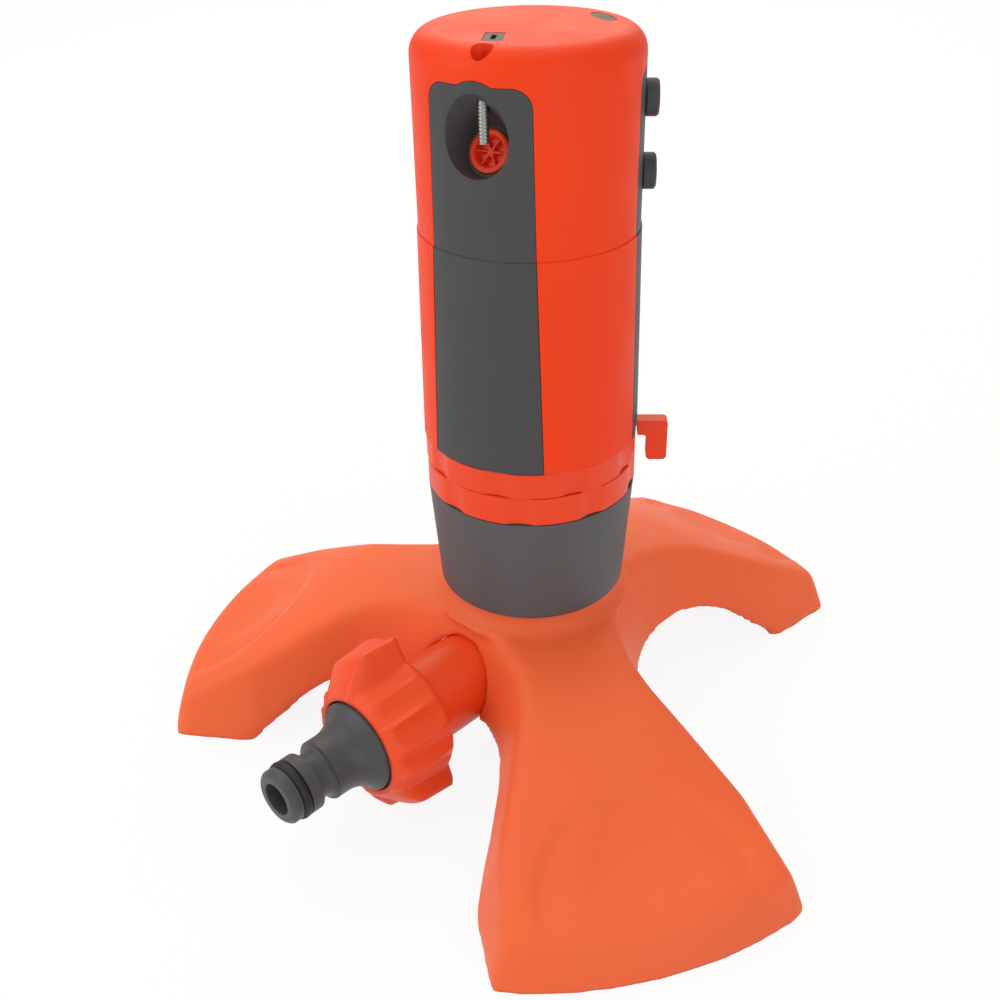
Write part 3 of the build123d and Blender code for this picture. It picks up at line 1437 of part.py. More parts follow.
socket_z = seam_z
axis_distance = nozzle_face_reach / cos(tilt)
bend_z = nozzle_face_z - nozzle_face_reach * tan(tilt)
tube_front = recess_floor_drop + recess_wall + face_gap
stream_radius = nozzle_radius - nozzle_rim
with BuildPart() as nozzle_tube:
    with BuildSketch(Plane.XY.offset(socket_z)):
        Circle(tube_radius)
    extrude(amount=bend_z - socket_z)
    with BuildSketch(nozzle_face.offset(-axis_distance)):
        Circle(tube_radius)
    extrude(amount=axis_distance - tube_front)
    with Locations((0, 0, bend_z)):
        Sphere(tube_radius)
    with BuildSketch(Plane.XY.offset(socket_z)):
        Circle(stream_radius)
    extrude(amount=bend_z - socket_z, mode=Mode.SUBTRACT)
    with BuildSketch(nozzle_face.offset(-axis_distance)):
        Circle(stream_radius)
    extrude(amount=axis_distance, mode=Mode.SUBTRACT)
    with Locations((0, 0, bend_z)):
        Sphere(stream_radius, mode=Mode.SUBTRACT)
    with BuildSketch(nozzle_face.offset(-nozzle_length)):
        Circle(tube_bore_radius)
    extrude(amount=nozzle_length, mode=Mode.SUBTRACT)
save(nozzle_tube.part, "nozzle_tube")

spigot_length = 7.0
spigot_wall = 2.6
body_spigot_radius = shell_bore - seat_gap
head_spigot_radius = head_bore - seat_gap
with BuildPart() as head_plate:
    with BuildSketch(Plane.XY.offset(seam_z - spigot_length)):
        Circle(body_spigot_radius)
    extrude(amount=spigot_length)
    with BuildSketch(Plane.XY.offset(seam_z)):
        Circle(head_spigot_radius)
    extrude(amount=spigot_length)
    with BuildSketch(Plane.XY.offset(seam_z)):
        Circle(head_spigot_radius - spigot_wall)
    extrude(amount=spigot_length, mode=Mode.SUBTRACT)
    with BuildSketch(Plane.XY.offset(seam_z - spigot_length)):
        Circle(head_spigot_radius - spigot_wall)
    extrude(amount=spigot_length - head_plate_thickness, mode=Mode.SUBTRACT)
    with BuildSketch(Plane.XY.offset(seam_z)):
        Circle(tube_radius + seat_gap + spigot_wall)
        Circle(tube_radius + seat_gap, mode=Mode.SUBTRACT)
    extrude(amount=head_plate_socket_height)
    with BuildSketch(Plane.XY.offset(seam_z - head_plate_thickness)):
        Circle(stream_radius)
    extrude(amount=head_plate_thickness, mode=Mode.SUBTRACT)
    with BuildSketch(Plane.XY.offset(seam_z + spigot_length / 2 - seam_seal_section)):
        Circle(head_radius)
        Circle(head_bore - 2 * seam_seal_section, mode=Mode.SUBTRACT)
    extrude(amount=2 * seam_seal_section, mode=Mode.SUBTRACT)
save(head_plate.part, "head_plate")

with BuildPart() as seam_seal:
    with Locations((0, 0, seam_z + spigot_length / 2)):
        Torus(head_bore - seam_seal_section, seam_seal_section)
save(seam_seal.part, "seam_seal")

with BuildPart() as radius_screw:
    with BuildSketch(Plane.XY.offset(screw_bottom_z)):
        with Locations((screw_x, screw_y)):
            Circle(screw_radius)
    extrude(amount=screw_head_z - screw_bottom_z)
    chamfer(radius_screw.edges().group_by(Axis.Z)[0], length=0.4)
    with BuildSketch(Plane.XY.offset(screw_head_z)):
        with Locations((screw_x, screw_y)):
            Circle(screw_head_radius)
    extrude(amount=screw_head_height)
    with BuildSketch(Plane.XY.offset(screw_head_z + screw_head_height / 2)):
        with Locations((screw_x, screw_y)):
            Rectangle(2 * screw_head_radius, screw_slot_width)
    extrude(amount=screw_head_height / 2, mode=Mode.SUBTRACT)
save(radius_screw.part, "radius_screw")

# Grey inserts in the top: a slotted one for the radius key, and an eye-shaped mark

with BuildPart() as slot_insert:
    with BuildSketch(Plane.XY.offset(head_top_z - insert_depth)):
        with Locations(slot_place):
            Rectangle(slot_insert_length - 2 * seat_gap, slot_insert_width - 2 * seat_gap)
    extrude(amount=insert_depth - seat_gap)
    with BuildSketch(Plane.XY.offset(head_top_z - insert_depth / 2)):
        with Locations(slot_place):
            Rectangle(slot_insert_length / 2, slot_insert_width / 4)
    extrude(amount=insert_depth, mode=Mode.SUBTRACT)
save(slot_insert.part, "slot_insert")

with BuildPart() as mark_insert:
    with BuildSketch(Plane.XY.offset(head_top_z - insert_depth)):
        with Locations(mark_place):
            Ellipse(mark_insert_length / 2 - seat_gap, mark_insert_width / 2 - seat_gap)
    extrude(amount=insert_depth - seat_gap)
save(mark_insert.part, "mark_insert")
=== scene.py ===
import json
from math import cos, hypot, pi, radians, sin

import bmesh
import bpy
from mathutils import Matrix, Vector


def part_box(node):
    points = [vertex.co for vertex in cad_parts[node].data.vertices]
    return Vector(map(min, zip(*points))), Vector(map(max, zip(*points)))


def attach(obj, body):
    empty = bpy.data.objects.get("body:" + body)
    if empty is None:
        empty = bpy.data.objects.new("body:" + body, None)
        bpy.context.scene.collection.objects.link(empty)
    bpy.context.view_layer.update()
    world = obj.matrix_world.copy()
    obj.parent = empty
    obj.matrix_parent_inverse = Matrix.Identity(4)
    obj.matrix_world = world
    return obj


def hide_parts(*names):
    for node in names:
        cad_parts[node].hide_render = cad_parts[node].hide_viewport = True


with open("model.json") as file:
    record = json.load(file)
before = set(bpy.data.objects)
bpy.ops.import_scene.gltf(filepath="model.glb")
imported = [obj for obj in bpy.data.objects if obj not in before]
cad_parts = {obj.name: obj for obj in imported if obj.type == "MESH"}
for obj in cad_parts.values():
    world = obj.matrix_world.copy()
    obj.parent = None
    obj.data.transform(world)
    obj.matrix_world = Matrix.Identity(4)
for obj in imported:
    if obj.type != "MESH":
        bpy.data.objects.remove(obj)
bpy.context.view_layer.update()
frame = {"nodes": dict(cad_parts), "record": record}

bl_info = {
    "name": "Gear Drive Sprinkler",
    "version": (1, 0, 0),
    "blender": (4, 5, 0),
    "location": "View3D > Sidebar > Sprinkler",
    "description": "Finishes and details of a turning lawn sprinkler on a three-legged foot",
    "category": "Object",
}

MM = 0.001
# Edges sharper than this, in degrees, are rounded
SHARP_ANGLE = 32.0


# Colours and nodes

def linear(code):
    """Linear RGBA of an sRGB hex colour."""
    parts = [int(code[i:i + 2], 16) / 255 for i in (1, 3, 5)]
    return tuple(p / 12.92 if p <= 0.04045 else ((p + 0.055) / 1.055) ** 2.4 for p in parts) + (1.0,)


def add_node(tree, kind, inputs=(), **settings):
    """A new node with its settings; inputs are (socket, value) pairs, and a value may be another socket."""
    node = tree.nodes.new(kind)
    for name, value in settings.items():
        setattr(node, name, value)
    for socket, value in inputs:
        if isinstance(value, bpy.types.NodeSocket):
            tree.links.new(value, node.inputs[socket])
        else:
            node.inputs[socket].default_value = value
    return node


def noise(tree, place, size_mm, detail):
    """Even noise whose clouds are a size in millimetres across, as a factor."""
    inputs = [("Vector", place), ("Scale", 1 / (size_mm * MM)), ("Detail", detail)]
    return add_node(tree, "ShaderNodeTexNoise", inputs).outputs["Fac"]


def new_material(name):
    """An empty node material and its tree."""
    material = bpy.data.materials.new(name)
    material.use_nodes = True
    tree = material.node_tree
    tree.nodes.clear()
    return material, tree


def moulded_plastic(name, colour, roughness, grain_mm, relief_mm, cloud=0.05, gleam=0.3):
    """Moulded plastic: even pigment with faint clouds, and the fine grain of an eroded mould."""
    material, tree = new_material(name)
    place = add_node(tree, "ShaderNodeTexCoord").outputs["Object"]
    # Pigment and cooling give clouds about 30 mm across
    clouds = noise(tree, place, 30, 3.0)
    deep = tuple(c * (1 - cloud) for c in colour[:3]) + (1.0,)
    pale = tuple(min(1.0, c * (1 + cloud)) for c in colour[:3]) + (1.0,)
    tone = add_node(tree, "ShaderNodeMix", [(0, clouds), (6, deep), (7, pale)], data_type="RGBA")
    # The grain of the real mould is about 0.1 mm, and is drawn coarser here so that it shows
    grain = noise(tree, place, grain_mm, 4.0)
    # Handling polishes some spots a little more than others, over about 12 mm
    rub = noise(tree, place, 12, 5.0)
    gloss = add_node(
        tree,
        "ShaderNodeMapRange",
        [("Value", rub), (1, 0.3), (2, 0.7), (3, roughness - 0.05), (4, roughness + 0.05)],
    )
    bump = add_node(
        tree,
        "ShaderNodeBump",
        [("Height", grain), ("Strength", 0.6), ("Distance", relief_mm * MM)],
    )
    shader = add_node(
        tree,
        "ShaderNodeBsdfPrincipled",
        [
            ("Base Color", tone.outputs[2]),
            ("Roughness", gloss.outputs[0]),
            ("IOR", 1.5),
            ("Specular IOR Level", gleam),
            ("Normal", bump.outputs[0]),
        ],
    )
    add_node(tree, "ShaderNodeOutputMaterial", [("Surface", shader.outputs[0])])
    return material


def nitrile_rubber(name, colour):
    """Black nitrile rubber, softly dull, with a trace of grease on it."""
    material, tree = new_material(name)
    place = add_node(tree, "ShaderNodeTexCoord").outputs["Object"]
    film = noise(tree, place, 3, 4.0)
    gloss = add_node(tree, "ShaderNodeMapRange", [("Value", film), (3, 0.5), (4, 0.7)])
    skin = noise(tree, place, 0.4, 2.0)
    bump = add_node(tree, "ShaderNodeBump", [("Height", skin), ("Strength", 0.3), ("Distance", 0.02 * MM)])
    shader = add_node(
        tree,
        "ShaderNodeBsdfPrincipled",
        [
            ("Base Color", colour),
            ("Roughness", gloss.outputs[0]),
            ("IOR", 1.52),
            ("Normal", bump.outputs[0]),
        ],
    )
    add_node(tree, "ShaderNodeOutputMaterial", [("Surface", shader.outputs[0])])
    return material


def turned_steel(name, colour):
    """Stainless steel turned on a lathe, with fine rings along its length."""
    material, tree = new_material(name)
    place = add_node(tree, "ShaderNodeTexCoord").outputs["Object"]
    drawn = add_node(tree, "ShaderNodeMapping", [("Vector", place), ("Scale", (1.0, 1.0, 12.0))])
    rings = noise(tree, drawn.outputs[0], 2, 3.0)
    gloss = add_node(tree, "ShaderNodeMapRange", [("Value", rings), (3, 0.34), (4, 0.5)])
    bump = add_node(tree, "ShaderNodeBump", [("Height", rings), ("Strength", 0.3), ("Distance", 0.01 * MM)])
    shader = add_node(
        tree,
        "ShaderNodeBsdfPrincipled",
        [
            ("Base Color", colour),
            ("Metallic", 1.0),
            ("Roughness", gloss.outputs[0]),
            ("Normal", bump.outputs[0]),
        ],
    )
    add_node(tree, "ShaderNodeOutputMaterial", [("Surface", shader.outputs[0])])
    return material


def studio_card(name, colour, white_to_camera):
    """Matt card for floor and backdrop, plain white where the camera, gloss or clear parts see it."""
    material, tree = new_material(name)
    rays = add_node(tree, "ShaderNodeLightPath")
    seen = add_node(
        tree,
        "ShaderNodeMath",
        [(0, rays.outputs["Is Camera Ray"]), (1, rays.outputs["Is Glossy Ray"])],
        operation="MAXIMUM",
    )
    seen = add_node(
        tree,
        "ShaderNodeMath",
        [(0, seen.outputs[0]), (1, rays.outputs["Is Transmission Ray"])],
        operation="MAXIMUM",
    )
    whiten = [(0, seen.outputs[0]), (1, white_to_camera)]
    share = add_node(tree, "ShaderNodeMath", whiten, operation="MULTIPLY")
    matt = add_node(tree, "ShaderNodeBsdfDiffuse", [("Color", colour)])
    light = add_node(tree, "ShaderNodeEmission", [("Color", (1, 1, 1, 1)), ("Strength", 1.0)])
    both = [(0, share.outputs[0]), (1, matt.outputs[0]), (2, light.outputs[0])]
    mix = add_node(tree, "ShaderNodeMixShader", both)
    add_node(tree, "ShaderNodeOutputMaterial", [("Surface", mix.outputs[0])])
    return material


# Meshes

def link(mesh, name):
    """A new object at the origin for a mesh whose place is in its vertices."""
    piece = bpy.data.objects.new(name, mesh)
    bpy.context.scene.collection.objects.link(piece)
    return piece


def merged(node, name, flatten):
    """A copy of a CAD node's mesh with its vertices merged, and its flat stretches joined if asked."""
    work = bmesh.new()
    work.from_mesh(frame["nodes"][node].data)
    bmesh.ops.remove_doubles(work, verts=work.verts, dist=0.002 * MM)
    if flatten:
        bmesh.ops.dissolve_limit(work, angle_limit=radians(0.3), verts=work.verts, edges=work.edges)
    mesh = bpy.data.meshes.new(name)
    work.to_mesh(mesh)
    work.free()
    return mesh


def softened(node, name, width):
    """A copy of a CAD node with its sharp edges rounded as a mould leaves them."""
    mesh = merged(node, name, True)
    mesh.materials.clear()
    mesh.shade_smooth()
    mesh.set_sharp_from_angle(angle=radians(SHARP_ANGLE))
    piece = link(mesh, name)
    bevel = piece.modifiers.new("Rounded edges", "BEVEL")
    bevel.width = width
    bevel.segments = 2
    bevel.limit_method = "ANGLE"
    bevel.angle_limit = radians(SHARP_ANGLE)
    bevel.harden_normals = True
    bevel.use_clamp_overlap = True
    return piece


def lathed(name, rows, sharp_angle):
    """A closed mesh from rows of points round an axis, whose last row joins its first."""
    around = len(rows[0])
    work = bmesh.new()
    loops = [[work.verts.new(point) for point in row] for row in rows]
    for index, loop in enumerate(loops):
        after = loops[(index + 1) % len(loops)]
        for step in range(around):
            n = (step + 1) % around
            work.faces.new((loop[step], loop[n], after[n], after[step]))
    bmesh.ops.remove_doubles(work, verts=work.verts, dist=0.0005 * MM)
    bmesh.ops.recalc_face_normals(work, faces=work.faces)
    mesh = bpy.data.meshes.new(name)
    work.to_mesh(mesh)
    work.free()
    mesh.shade_smooth()
    mesh.set_sharp_from_angle(angle=radians(sharp_angle))
    return link(mesh, name)


def ease(value):
    """Smooth step from 0 to 1."""
    value = max(0.0, min(1.0, value))
    return value * value * (3 - 2 * value)


def settle(piece, body, material, slot_name, *nodes):
    """Gives a piece its finish and its body, and hides the CAD nodes that it stands for; its slot name is
    not used.
    """
    piece.data.materials.clear()
    piece.data.materials.append(bpy.data.materials[material])
    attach(piece, body)
    if nodes:
        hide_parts(*nodes)


def applied(piece, name):
    """The evaluated mesh of an object with live modifiers, as a new plain object."""
    bpy.context.view_layer.update()
    evaluated = piece.evaluated_get(bpy.context.evaluated_depsgraph_get())
    mesh = bpy.data.meshes.new_from_object(evaluated)
    mesh.name = name
    bpy.data.objects.remove(piece)
    return link(mesh, name)


# Sizes and colours a user may change

def colour_setting(name, description, code):
    """A colour that a user may change."""
    return bpy.props.FloatVectorProperty(
        name=name, description=description, subtype="COLOR", size=4, default=linear(code))


def length_setting(name, description, millimetres):
    """A length that a user may change."""
    return bpy.props.FloatProperty(
        name=name, description=description, unit="LENGTH", default=millimetres * MM)


class SprinklerColours(bpy.types.PropertyGroup):
    """Colours of the moulded, rubber and metal finishes."""

    shell: colour_setting("Barrel orange", "Head and body shells", "#EE3C08")
    # The foot's orange is paler than the barrel's: painted sheen for the pale veil that light leaves on the
    # foot's upward faces
    foot: colour_setting("Foot orange with painted sheen", "Three-legged foot", "#ED6434")
    ring: colour_setting("Ring orange", "Arc rings and trip hook", "#EA4218")
    nut: colour_setting("Nut orange", "Winged union nut and hose inlet", "#EC4E20")
    nozzle: colour_setting("Nozzle orange", "Fitted nozzle", "#F03A10")
    panel: colour_setting("Panel grey", "Panels let into the barrel", "#434345")
    cup: colour_setting("Cup grey", "Cup under the rings", "#565658")
    nose: colour_setting("Nose grey", "Quick-fit hose nose and inner parts", "#48484A")
    rubber: colour_setting("Rubber black", "Seals", "#0E0E0E")
    steel: colour_setting("Steel", "Radius screw and small hardware", "#A2A2A0")
    acetal: colour_setting("Acetal white", "Gears and turbine", "#E4E3DC")


class SprinklerSizes(bpy.types.PropertyGroup):
    """Sizes of the details."""

    shell_edge: length_setting("Shell edge", "Rounding of the panels, rings, cup and inlet", 0.35)
    seam_edge: length_setting("Seam edge", "Rounding that opens the seam round the barrel", 0.6)
    foot_skin: length_setting("Foot skin", "Size of the foot's faces", 1.1)
    foot_rounding: bpy.props.IntProperty(
        name="Foot rounding",
        description="Times that the foot's edges are eased",
        default=14,
    )
    dish_depth: length_setting("Dish depth", "Depth of the dish in each leg", 1.5)
    thread_pitch: length_setting("Thread pitch", "Radius screw's thread, from crest to crest", 0.8)
    thread_depth: length_setting("Thread depth", "Radius screw's thread, from crest to root", 0.16)


class SPRINKLER_OT_finishes(bpy.types.Operator):
    """Makes the finishes and gives each CAD piece its own"""

    bl_idname = "sprinkler.finishes"
    bl_label = "Finishes"

    def execute(self, context):
        tint = context.scene.sprinkler_colours
        # Head and body: ABS from a finely eroded mould, nearly matt
        moulded_plastic("Orange ABS, eroded mould", tint.shell, 0.5, 0.5, 0.03, gleam=0.22)
        # Foot: polypropylene copolymer, satin, with a slightly coarser grain; its orange is paler than the
        # barrel's, painted sheen for the pale veil that light leaves on its upward faces
        moulded_plastic("Orange polypropylene with painted sheen, satin mould", tint.foot, 0.5, 0.8, 0.04)
        # Rings and hook: acetal, smoother and a little glossier
        moulded_plastic("Orange acetal, smooth mould", tint.ring, 0.4, 0.6, 0.015)
        # Nut and inlet: glass-filled nylon, semi-gloss where hands turn it
        moulded_plastic("Orange nylon, semi-gloss", tint.nut, 0.42, 0.7, 0.02)
        moulded_plastic("Orange acetal, polished mould", tint.nozzle, 0.3, 0.7, 0.01)
        # Grey panels: ABS with the same eroded mould
        moulded_plastic("Grey ABS, eroded mould", tint.panel, 0.5, 0.5, 0.03, cloud=0.04)
        # Grey cup: talc-filled polypropylene, coarser and duller
        moulded_plastic("Grey polypropylene, coarse mould", tint.cup, 0.56, 0.7, 0.06, cloud=0.06)
        # Hose nose: grey acetal, semi-gloss
        moulded_plastic("Grey acetal, semi-gloss", tint.nose, 0.42, 0.6, 0.012)
        moulded_plastic("Dark ABS, inner parts", tint.nose, 0.5, 0.8, 0.02)
        moulded_plastic("White acetal, smooth", tint.acetal, 0.35, 0.8, 0.01, cloud=0.02)
        nitrile_rubber("Nitrile rubber", tint.rubber)
        turned_steel("Stainless steel, turned", tint.steel)
        slots = {
            "foot_orange": "Orange polypropylene with painted sheen, satin mould",
            "shell_orange": "Orange ABS, eroded mould",
            "ring_orange": "Orange acetal, smooth mould",
            "nut_orange": "Orange nylon, semi-gloss",
            "inlet_orange": "Orange nylon, semi-gloss",
            "nozzle_orange": "Orange acetal, polished mould",
            "panel_grey": "Grey ABS, eroded mould",
            "cup_grey": "Grey polypropylene, coarse mould",
            "nose_grey": "Grey acetal, semi-gloss",
            "insert_grey": "Grey ABS, eroded mould",
            "inner_grey": "Dark ABS, inner parts",
            "gear_white": "White acetal, smooth",
            "seal_rubber": "Nitrile rubber",
            "screw_steel": "Stainless steel, turned",
        }
        for part in frame["record"]["subparts"]:
            piece = frame["nodes"][part["node"]]
            piece.data.materials.clear()
            piece.data.materials.append(bpy.data.materials[slots[part["material_slot"]]])
        return {"FINISHED"}


# Foot, in mm and degrees: its legs, the parts that keep their sharp edges, and the dish in each leg

LEG_ANGLES = (-30.0, 90.0, 210.0)
RIM_HEIGHT = 0.65
COLLAR_BOTTOM = 36.0
COLLAR_REACH = 25.5
INLET_START = -12.0
INLET_REACH = 12.5
RIM_ROUNDS = 20
DISH_CENTRE = 95.0
DISH_RADIUS = 24.0
DISH_STRETCH = 1.25
DISH_STEP = 3.2


def edge_freedom(point):
    """How far the foot's edges may be eased at a point: nowhere at the ground, the collar and the inlet."""
    x, y, z = point
    collar = ease((hypot(x, y) - COLLAR_REACH) / 3) if z > COLLAR_BOTTOM else 1.0
    beside_inlet = y < INLET_START and abs(x) < INLET_REACH + 3.5
    inlet = ease((abs(x) - INLET_REACH) / 3) if beside_inlet else 1.0
    return ease((z - 0.6) / 3) * collar * inlet


def dish_share(point, up):
    """Share of the dish's depth at a point of a leg's top, whose step faces away from the hub."""
    deepest = 0.0
    for leg in LEG_ANGLES:
        along = point.x * cos(radians(leg)) + point.y * sin(radians(leg))
        across = point.y * cos(radians(leg)) - point.x * sin(radians(leg))
        off = hypot(along - DISH_CENTRE, across / DISH_STRETCH)
        fade = ease((DISH_CENTRE + 9 - along) / 16)
        deepest = max(deepest, ease((DISH_RADIUS - off) / DISH_STEP) * fade)
    return deepest * ease((up - 0.4) / 0.3) * ease((point.z - 5) / 4)


def smoothed(piece, name, rounds, group, level_too):
    """Adds a smoothing of a vertex group, of its outline only or of its level too."""
    smoothing = piece.modifiers.new(name, "SMOOTH")
    smoothing.factor = 0.5
    smoothing.iterations = rounds
    smoothing.use_z = level_too
    smoothing.vertex_group = group


class SPRINKLER_OT_foot(bpy.types.Operator):
    """Rounds the three-legged foot as its mould does, and presses a dish into each leg"""

    bl_idname = "sprinkler.foot"
    bl_label = "Foot"

    def execute(self, context):
        sizes = context.scene.sprinkler_sizes
        blank = link(merged("tripod_base", "foot blank", False), "foot blank")
        skin = blank.modifiers.new("Even skin", "REMESH")
        skin.mode = "VOXEL"
        skin.voxel_size = sizes.foot_skin
        piece = applied(blank, "foot_moulding")
        outside = piece.vertex_groups.new(name="Outside")
        rim = piece.vertex_groups.new(name="Rim")
        for vertex in piece.data.vertices:
            point = vertex.co / MM
            if point.z < RIM_HEIGHT:
                vertex.co.z = 0.0
            outside.add([vertex.index], edge_freedom(point), "REPLACE")
            rim.add([vertex.index], ease((7 - point.z) / 3), "REPLACE")
        smoothed(piece, "Even rim", RIM_ROUNDS, "Rim", False)
        smoothed(piece, "Rounded edges", sizes.foot_rounding, "Outside", True)
        piece = applied(piece, "foot_moulding")
        shares = [dish_share(vertex.co / MM, vertex.normal.z) for vertex in piece.data.vertices]
        for vertex, share in zip(piece.data.vertices, shares):
            vertex.co.z -= share * sizes.dish_depth
        piece.data.shade_smooth()
        settle(piece, "base", "Orange polypropylene with painted sheen, satin mould", "foot_orange", "tripod_base")
        return {"FINISHED"}


class SPRINKLER_OT_barrel(bpy.types.Operator):
    """Rounds the edges of the barrel's shells, panels, rings and cup"""

    bl_idname = "sprinkler.barrel"
    bl_label = "Barrel"

    def execute(self, context):
        edge = context.scene.sprinkler_sizes.shell_edge
        seam = context.scene.sprinkler_sizes.seam_edge
        orange, grey = "Orange ABS, eroded mould", "Grey ABS, eroded mould"
        for node, body, finish, slot_name in (
            ("body_shell", "head", orange, "shell_orange"),
            ("head_shell", "head", orange, "shell_orange"),
            ("body_front_panel", "head", grey, "panel_grey"),
            ("body_side_panel", "head", grey, "panel_grey"),
            ("head_front_panel", "head", grey, "panel_grey"),
            ("head_side_panel", "head", grey, "panel_grey"),
            ("spare_nozzles", "head", grey, "panel_grey"),
            ("riser_cup", "base", "Grey polypropylene, coarse mould", "cup_grey"),
            ("lower_arc_ring", "lower_ring", "Orange acetal, smooth mould", "ring_orange"),
            ("upper_arc_ring", "upper_ring", "Orange acetal, smooth mould", "ring_orange"),
            ("trip_lever", "lever", "Orange acetal, smooth mould", "ring_orange"),
        ):
            width = seam if node in ("body_shell", "head_shell") else edge
            settle(softened(node, node + "_moulding", width), body, finish, slot_name, node)
        return {"FINISHED"}


# Union nut, in mm and degrees round its axis

NUT_REAR_RADIUS = 17.9
NUT_FRONT_RADIUS = 16.3
NUT_REAR_ROUNDING = 1.3
NUT_FRONT_ROUNDING = 1.8
NUT_REACH = 24.25
NUT_BORE = 14.575
NUT_LIP_BORE = 13.2
NUT_LIP = 2.3
NUT_WINGS = (119.0, 299.0)
WING_HALF_ANGLE = 31.0
WING_SWELL = 5.0
RIDGE_OFFSET = -21.0
RIDGE_HALF_WIDTH = 6.5
RIDGE_RISE = 3.0
NUT_FLUTES = (-15.0, 9.0, 33.0, 57.0, 165.0, 189.0, 213.0, 237.0)
FLUTE_HALF_WIDTH = 8.0
FLUTE_DEPTH = 0.6
RIB_OFFSET = 12.0
RIB_HALF_WIDTH = 5.0
RIB_RISE = 0.75


def turned_between(angle, centre):
    """Signed angle from a centre, between -180 and 180 degrees."""
    return (angle - centre + 180) % 360 - 180


def nut_radius(share, angle):
    """Radius of the union nut's outside, from its rear (0) to its front (1), at an angle."""
    plain = NUT_REAR_RADIUS + (NUT_FRONT_RADIUS - NUT_REAR_RADIUS) * share
    rear_rounding = NUT_REAR_ROUNDING * (1 - ease(share / 0.07))
    front_rounding = NUT_FRONT_ROUNDING * (1 - ease((1 - share) / 0.12))
    radius = plain - rear_rounding - front_rounding
    from_rear = ease((share + 0.03) / 0.1)
    for centre in NUT_WINGS:
        off = turned_between(angle, centre)
        swell = ease((WING_HALF_ANGLE - abs(off)) / 11) * ease((0.98 - share) / 0.42)
        ridge = ease(1 - abs(off - RIDGE_OFFSET) / RIDGE_HALF_WIDTH) * ease((1.05 - share) / 0.4) ** 0.5
        radius += (WING_SWELL * swell + RIDGE_RISE * ridge) * from_rear
    ends = ease(share / 0.12) * ease((1 - share) / 0.16)
    for centre in NUT_FLUTES:
        off = abs(turned_between(angle, centre))
        radius -= FLUTE_DEPTH * ease(1 - off / FLUTE_HALF_WIDTH) * ends
        rib = ease(1 - abs(off - RIB_OFFSET) / RIB_HALF_WIDTH) * ease((share + 0.15) / 0.7)
        radius += RIB_RISE * rib * ends
    return min(radius, NUT_REACH)


class SPRINKLER_OT_nut(bpy.types.Operator):
    """Sweeps the winged union nut round its axis: two swelling wings with flutes between them"""

    bl_idname = "sprinkler.nut"
    bl_label = "Winged nut"

    def execute(self, context):
        low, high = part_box("coupling_nut")
        rear, front = -high.y / MM, -low.y / MM
        centre_z = (low.z + high.z) / 2 / MM
        steps, stations = 240, 22
        angles = [step * 360 / steps for step in range(steps)]
        rings = []
        for station in range(stations + 1):
            share = station / stations
            radii = [nut_radius(share, angle) for angle in angles]
            rings.append((rear + share * (front - rear), radii))
        for distance, radius in (
            (front, NUT_LIP_BORE + 0.3),
            (front - 0.3, NUT_LIP_BORE),
            (front - NUT_LIP, NUT_LIP_BORE),
            (front - NUT_LIP, NUT_BORE),
            (rear + 0.4, NUT_BORE),
            (rear, NUT_BORE + 0.4),
        ):
            rings.append((distance, [radius] * steps))
        rows = []
        for distance, radii in rings:
            row = []
            for angle, radius in zip(angles, radii):
                x, z = radius * cos(radians(angle)), centre_z + radius * sin(radians(angle))
                row.append((x * MM, -distance * MM, z * MM))
            rows.append(row)
        piece = lathed("winged_union_nut", rows, 50)
        settle(piece, "nut", "Orange nylon, semi-gloss", "nut_orange", "coupling_nut")
        return {"FINISHED"}


class SPRINKLER_OT_inlet(bpy.types.Operator):
    """Rounds the edges of the hose inlet and its nose"""

    bl_idname = "sprinkler.inlet"
    bl_label = "Inlet"

    def execute(self, context):
        edge = context.scene.sprinkler_sizes.shell_edge
        elbow = softened("inlet_elbow", "inlet_elbow_moulding", edge)
        settle(elbow, "base", "Orange nylon, semi-gloss", "inlet_orange", "inlet_elbow")
        nose = softened("hose_connector", "hose_connector_moulding", edge)
        settle(nose, "base", "Grey acetal, semi-gloss", "nose_grey", "hose_connector")
        return {"FINISHED"}


# Seal behind the nose's tip, in mm: an oval section squeezed into its groove

SEAL_RADIUS = 7.2
SEAL_HALF_WIDTH = 1.25
SEAL_HALF_HEIGHT = 0.9


class SPRINKLER_OT_nose_seal(bpy.types.Operator):
    """Rolls the rubber ring that sits in the groove behind the nose's tip"""

    bl_idname = "sprinkler.nose_seal"
    bl_label = "Nose seal"

    def execute(self, context):
        low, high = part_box("nose_o_ring")
        centre = (low + high) / 2
        stations, steps = 24, 96
        rows = []
        for station in range(stations):
            turn = station * 2 * pi / stations
            radius = (SEAL_RADIUS + SEAL_HALF_HEIGHT * cos(turn)) * MM
            shift = SEAL_HALF_WIDTH * MM * sin(turn)
            row = []
            for step in range(steps):
                angle = step * 2 * pi / steps
                row.append((radius * cos(angle), centre.y + shift, centre.z + radius * sin(angle)))
            rows.append(row)
        settle(lathed("nose_seal_ring", rows, 60), "base", "Nitrile rubber", "seal_rubber", "nose_o_ring")
        return {"FINISHED"}


# Fitted nozzle, in mm and degrees

NOZZLE_HEADING = -72.8
NOZZLE_TILT = 26.0
NOZZLE_HALF_LENGTH = 4.5
NOZZLE_RADIUS = 5.0
NOZZLE_BORE = 3.9
NOZZLE_RIM = 0.4
NOZZLE_CHAMFER = 0.35
NOZZLE_RECESS = 0.05
NOZZLE_LOBES = 6
NOZZLE_FLOOR_DROP = 0.9
NOZZLE_LOBE_DEPTH = 1.5
NOZZLE_SPOKE = 0.18
NOZZLE_HUB = 0.8


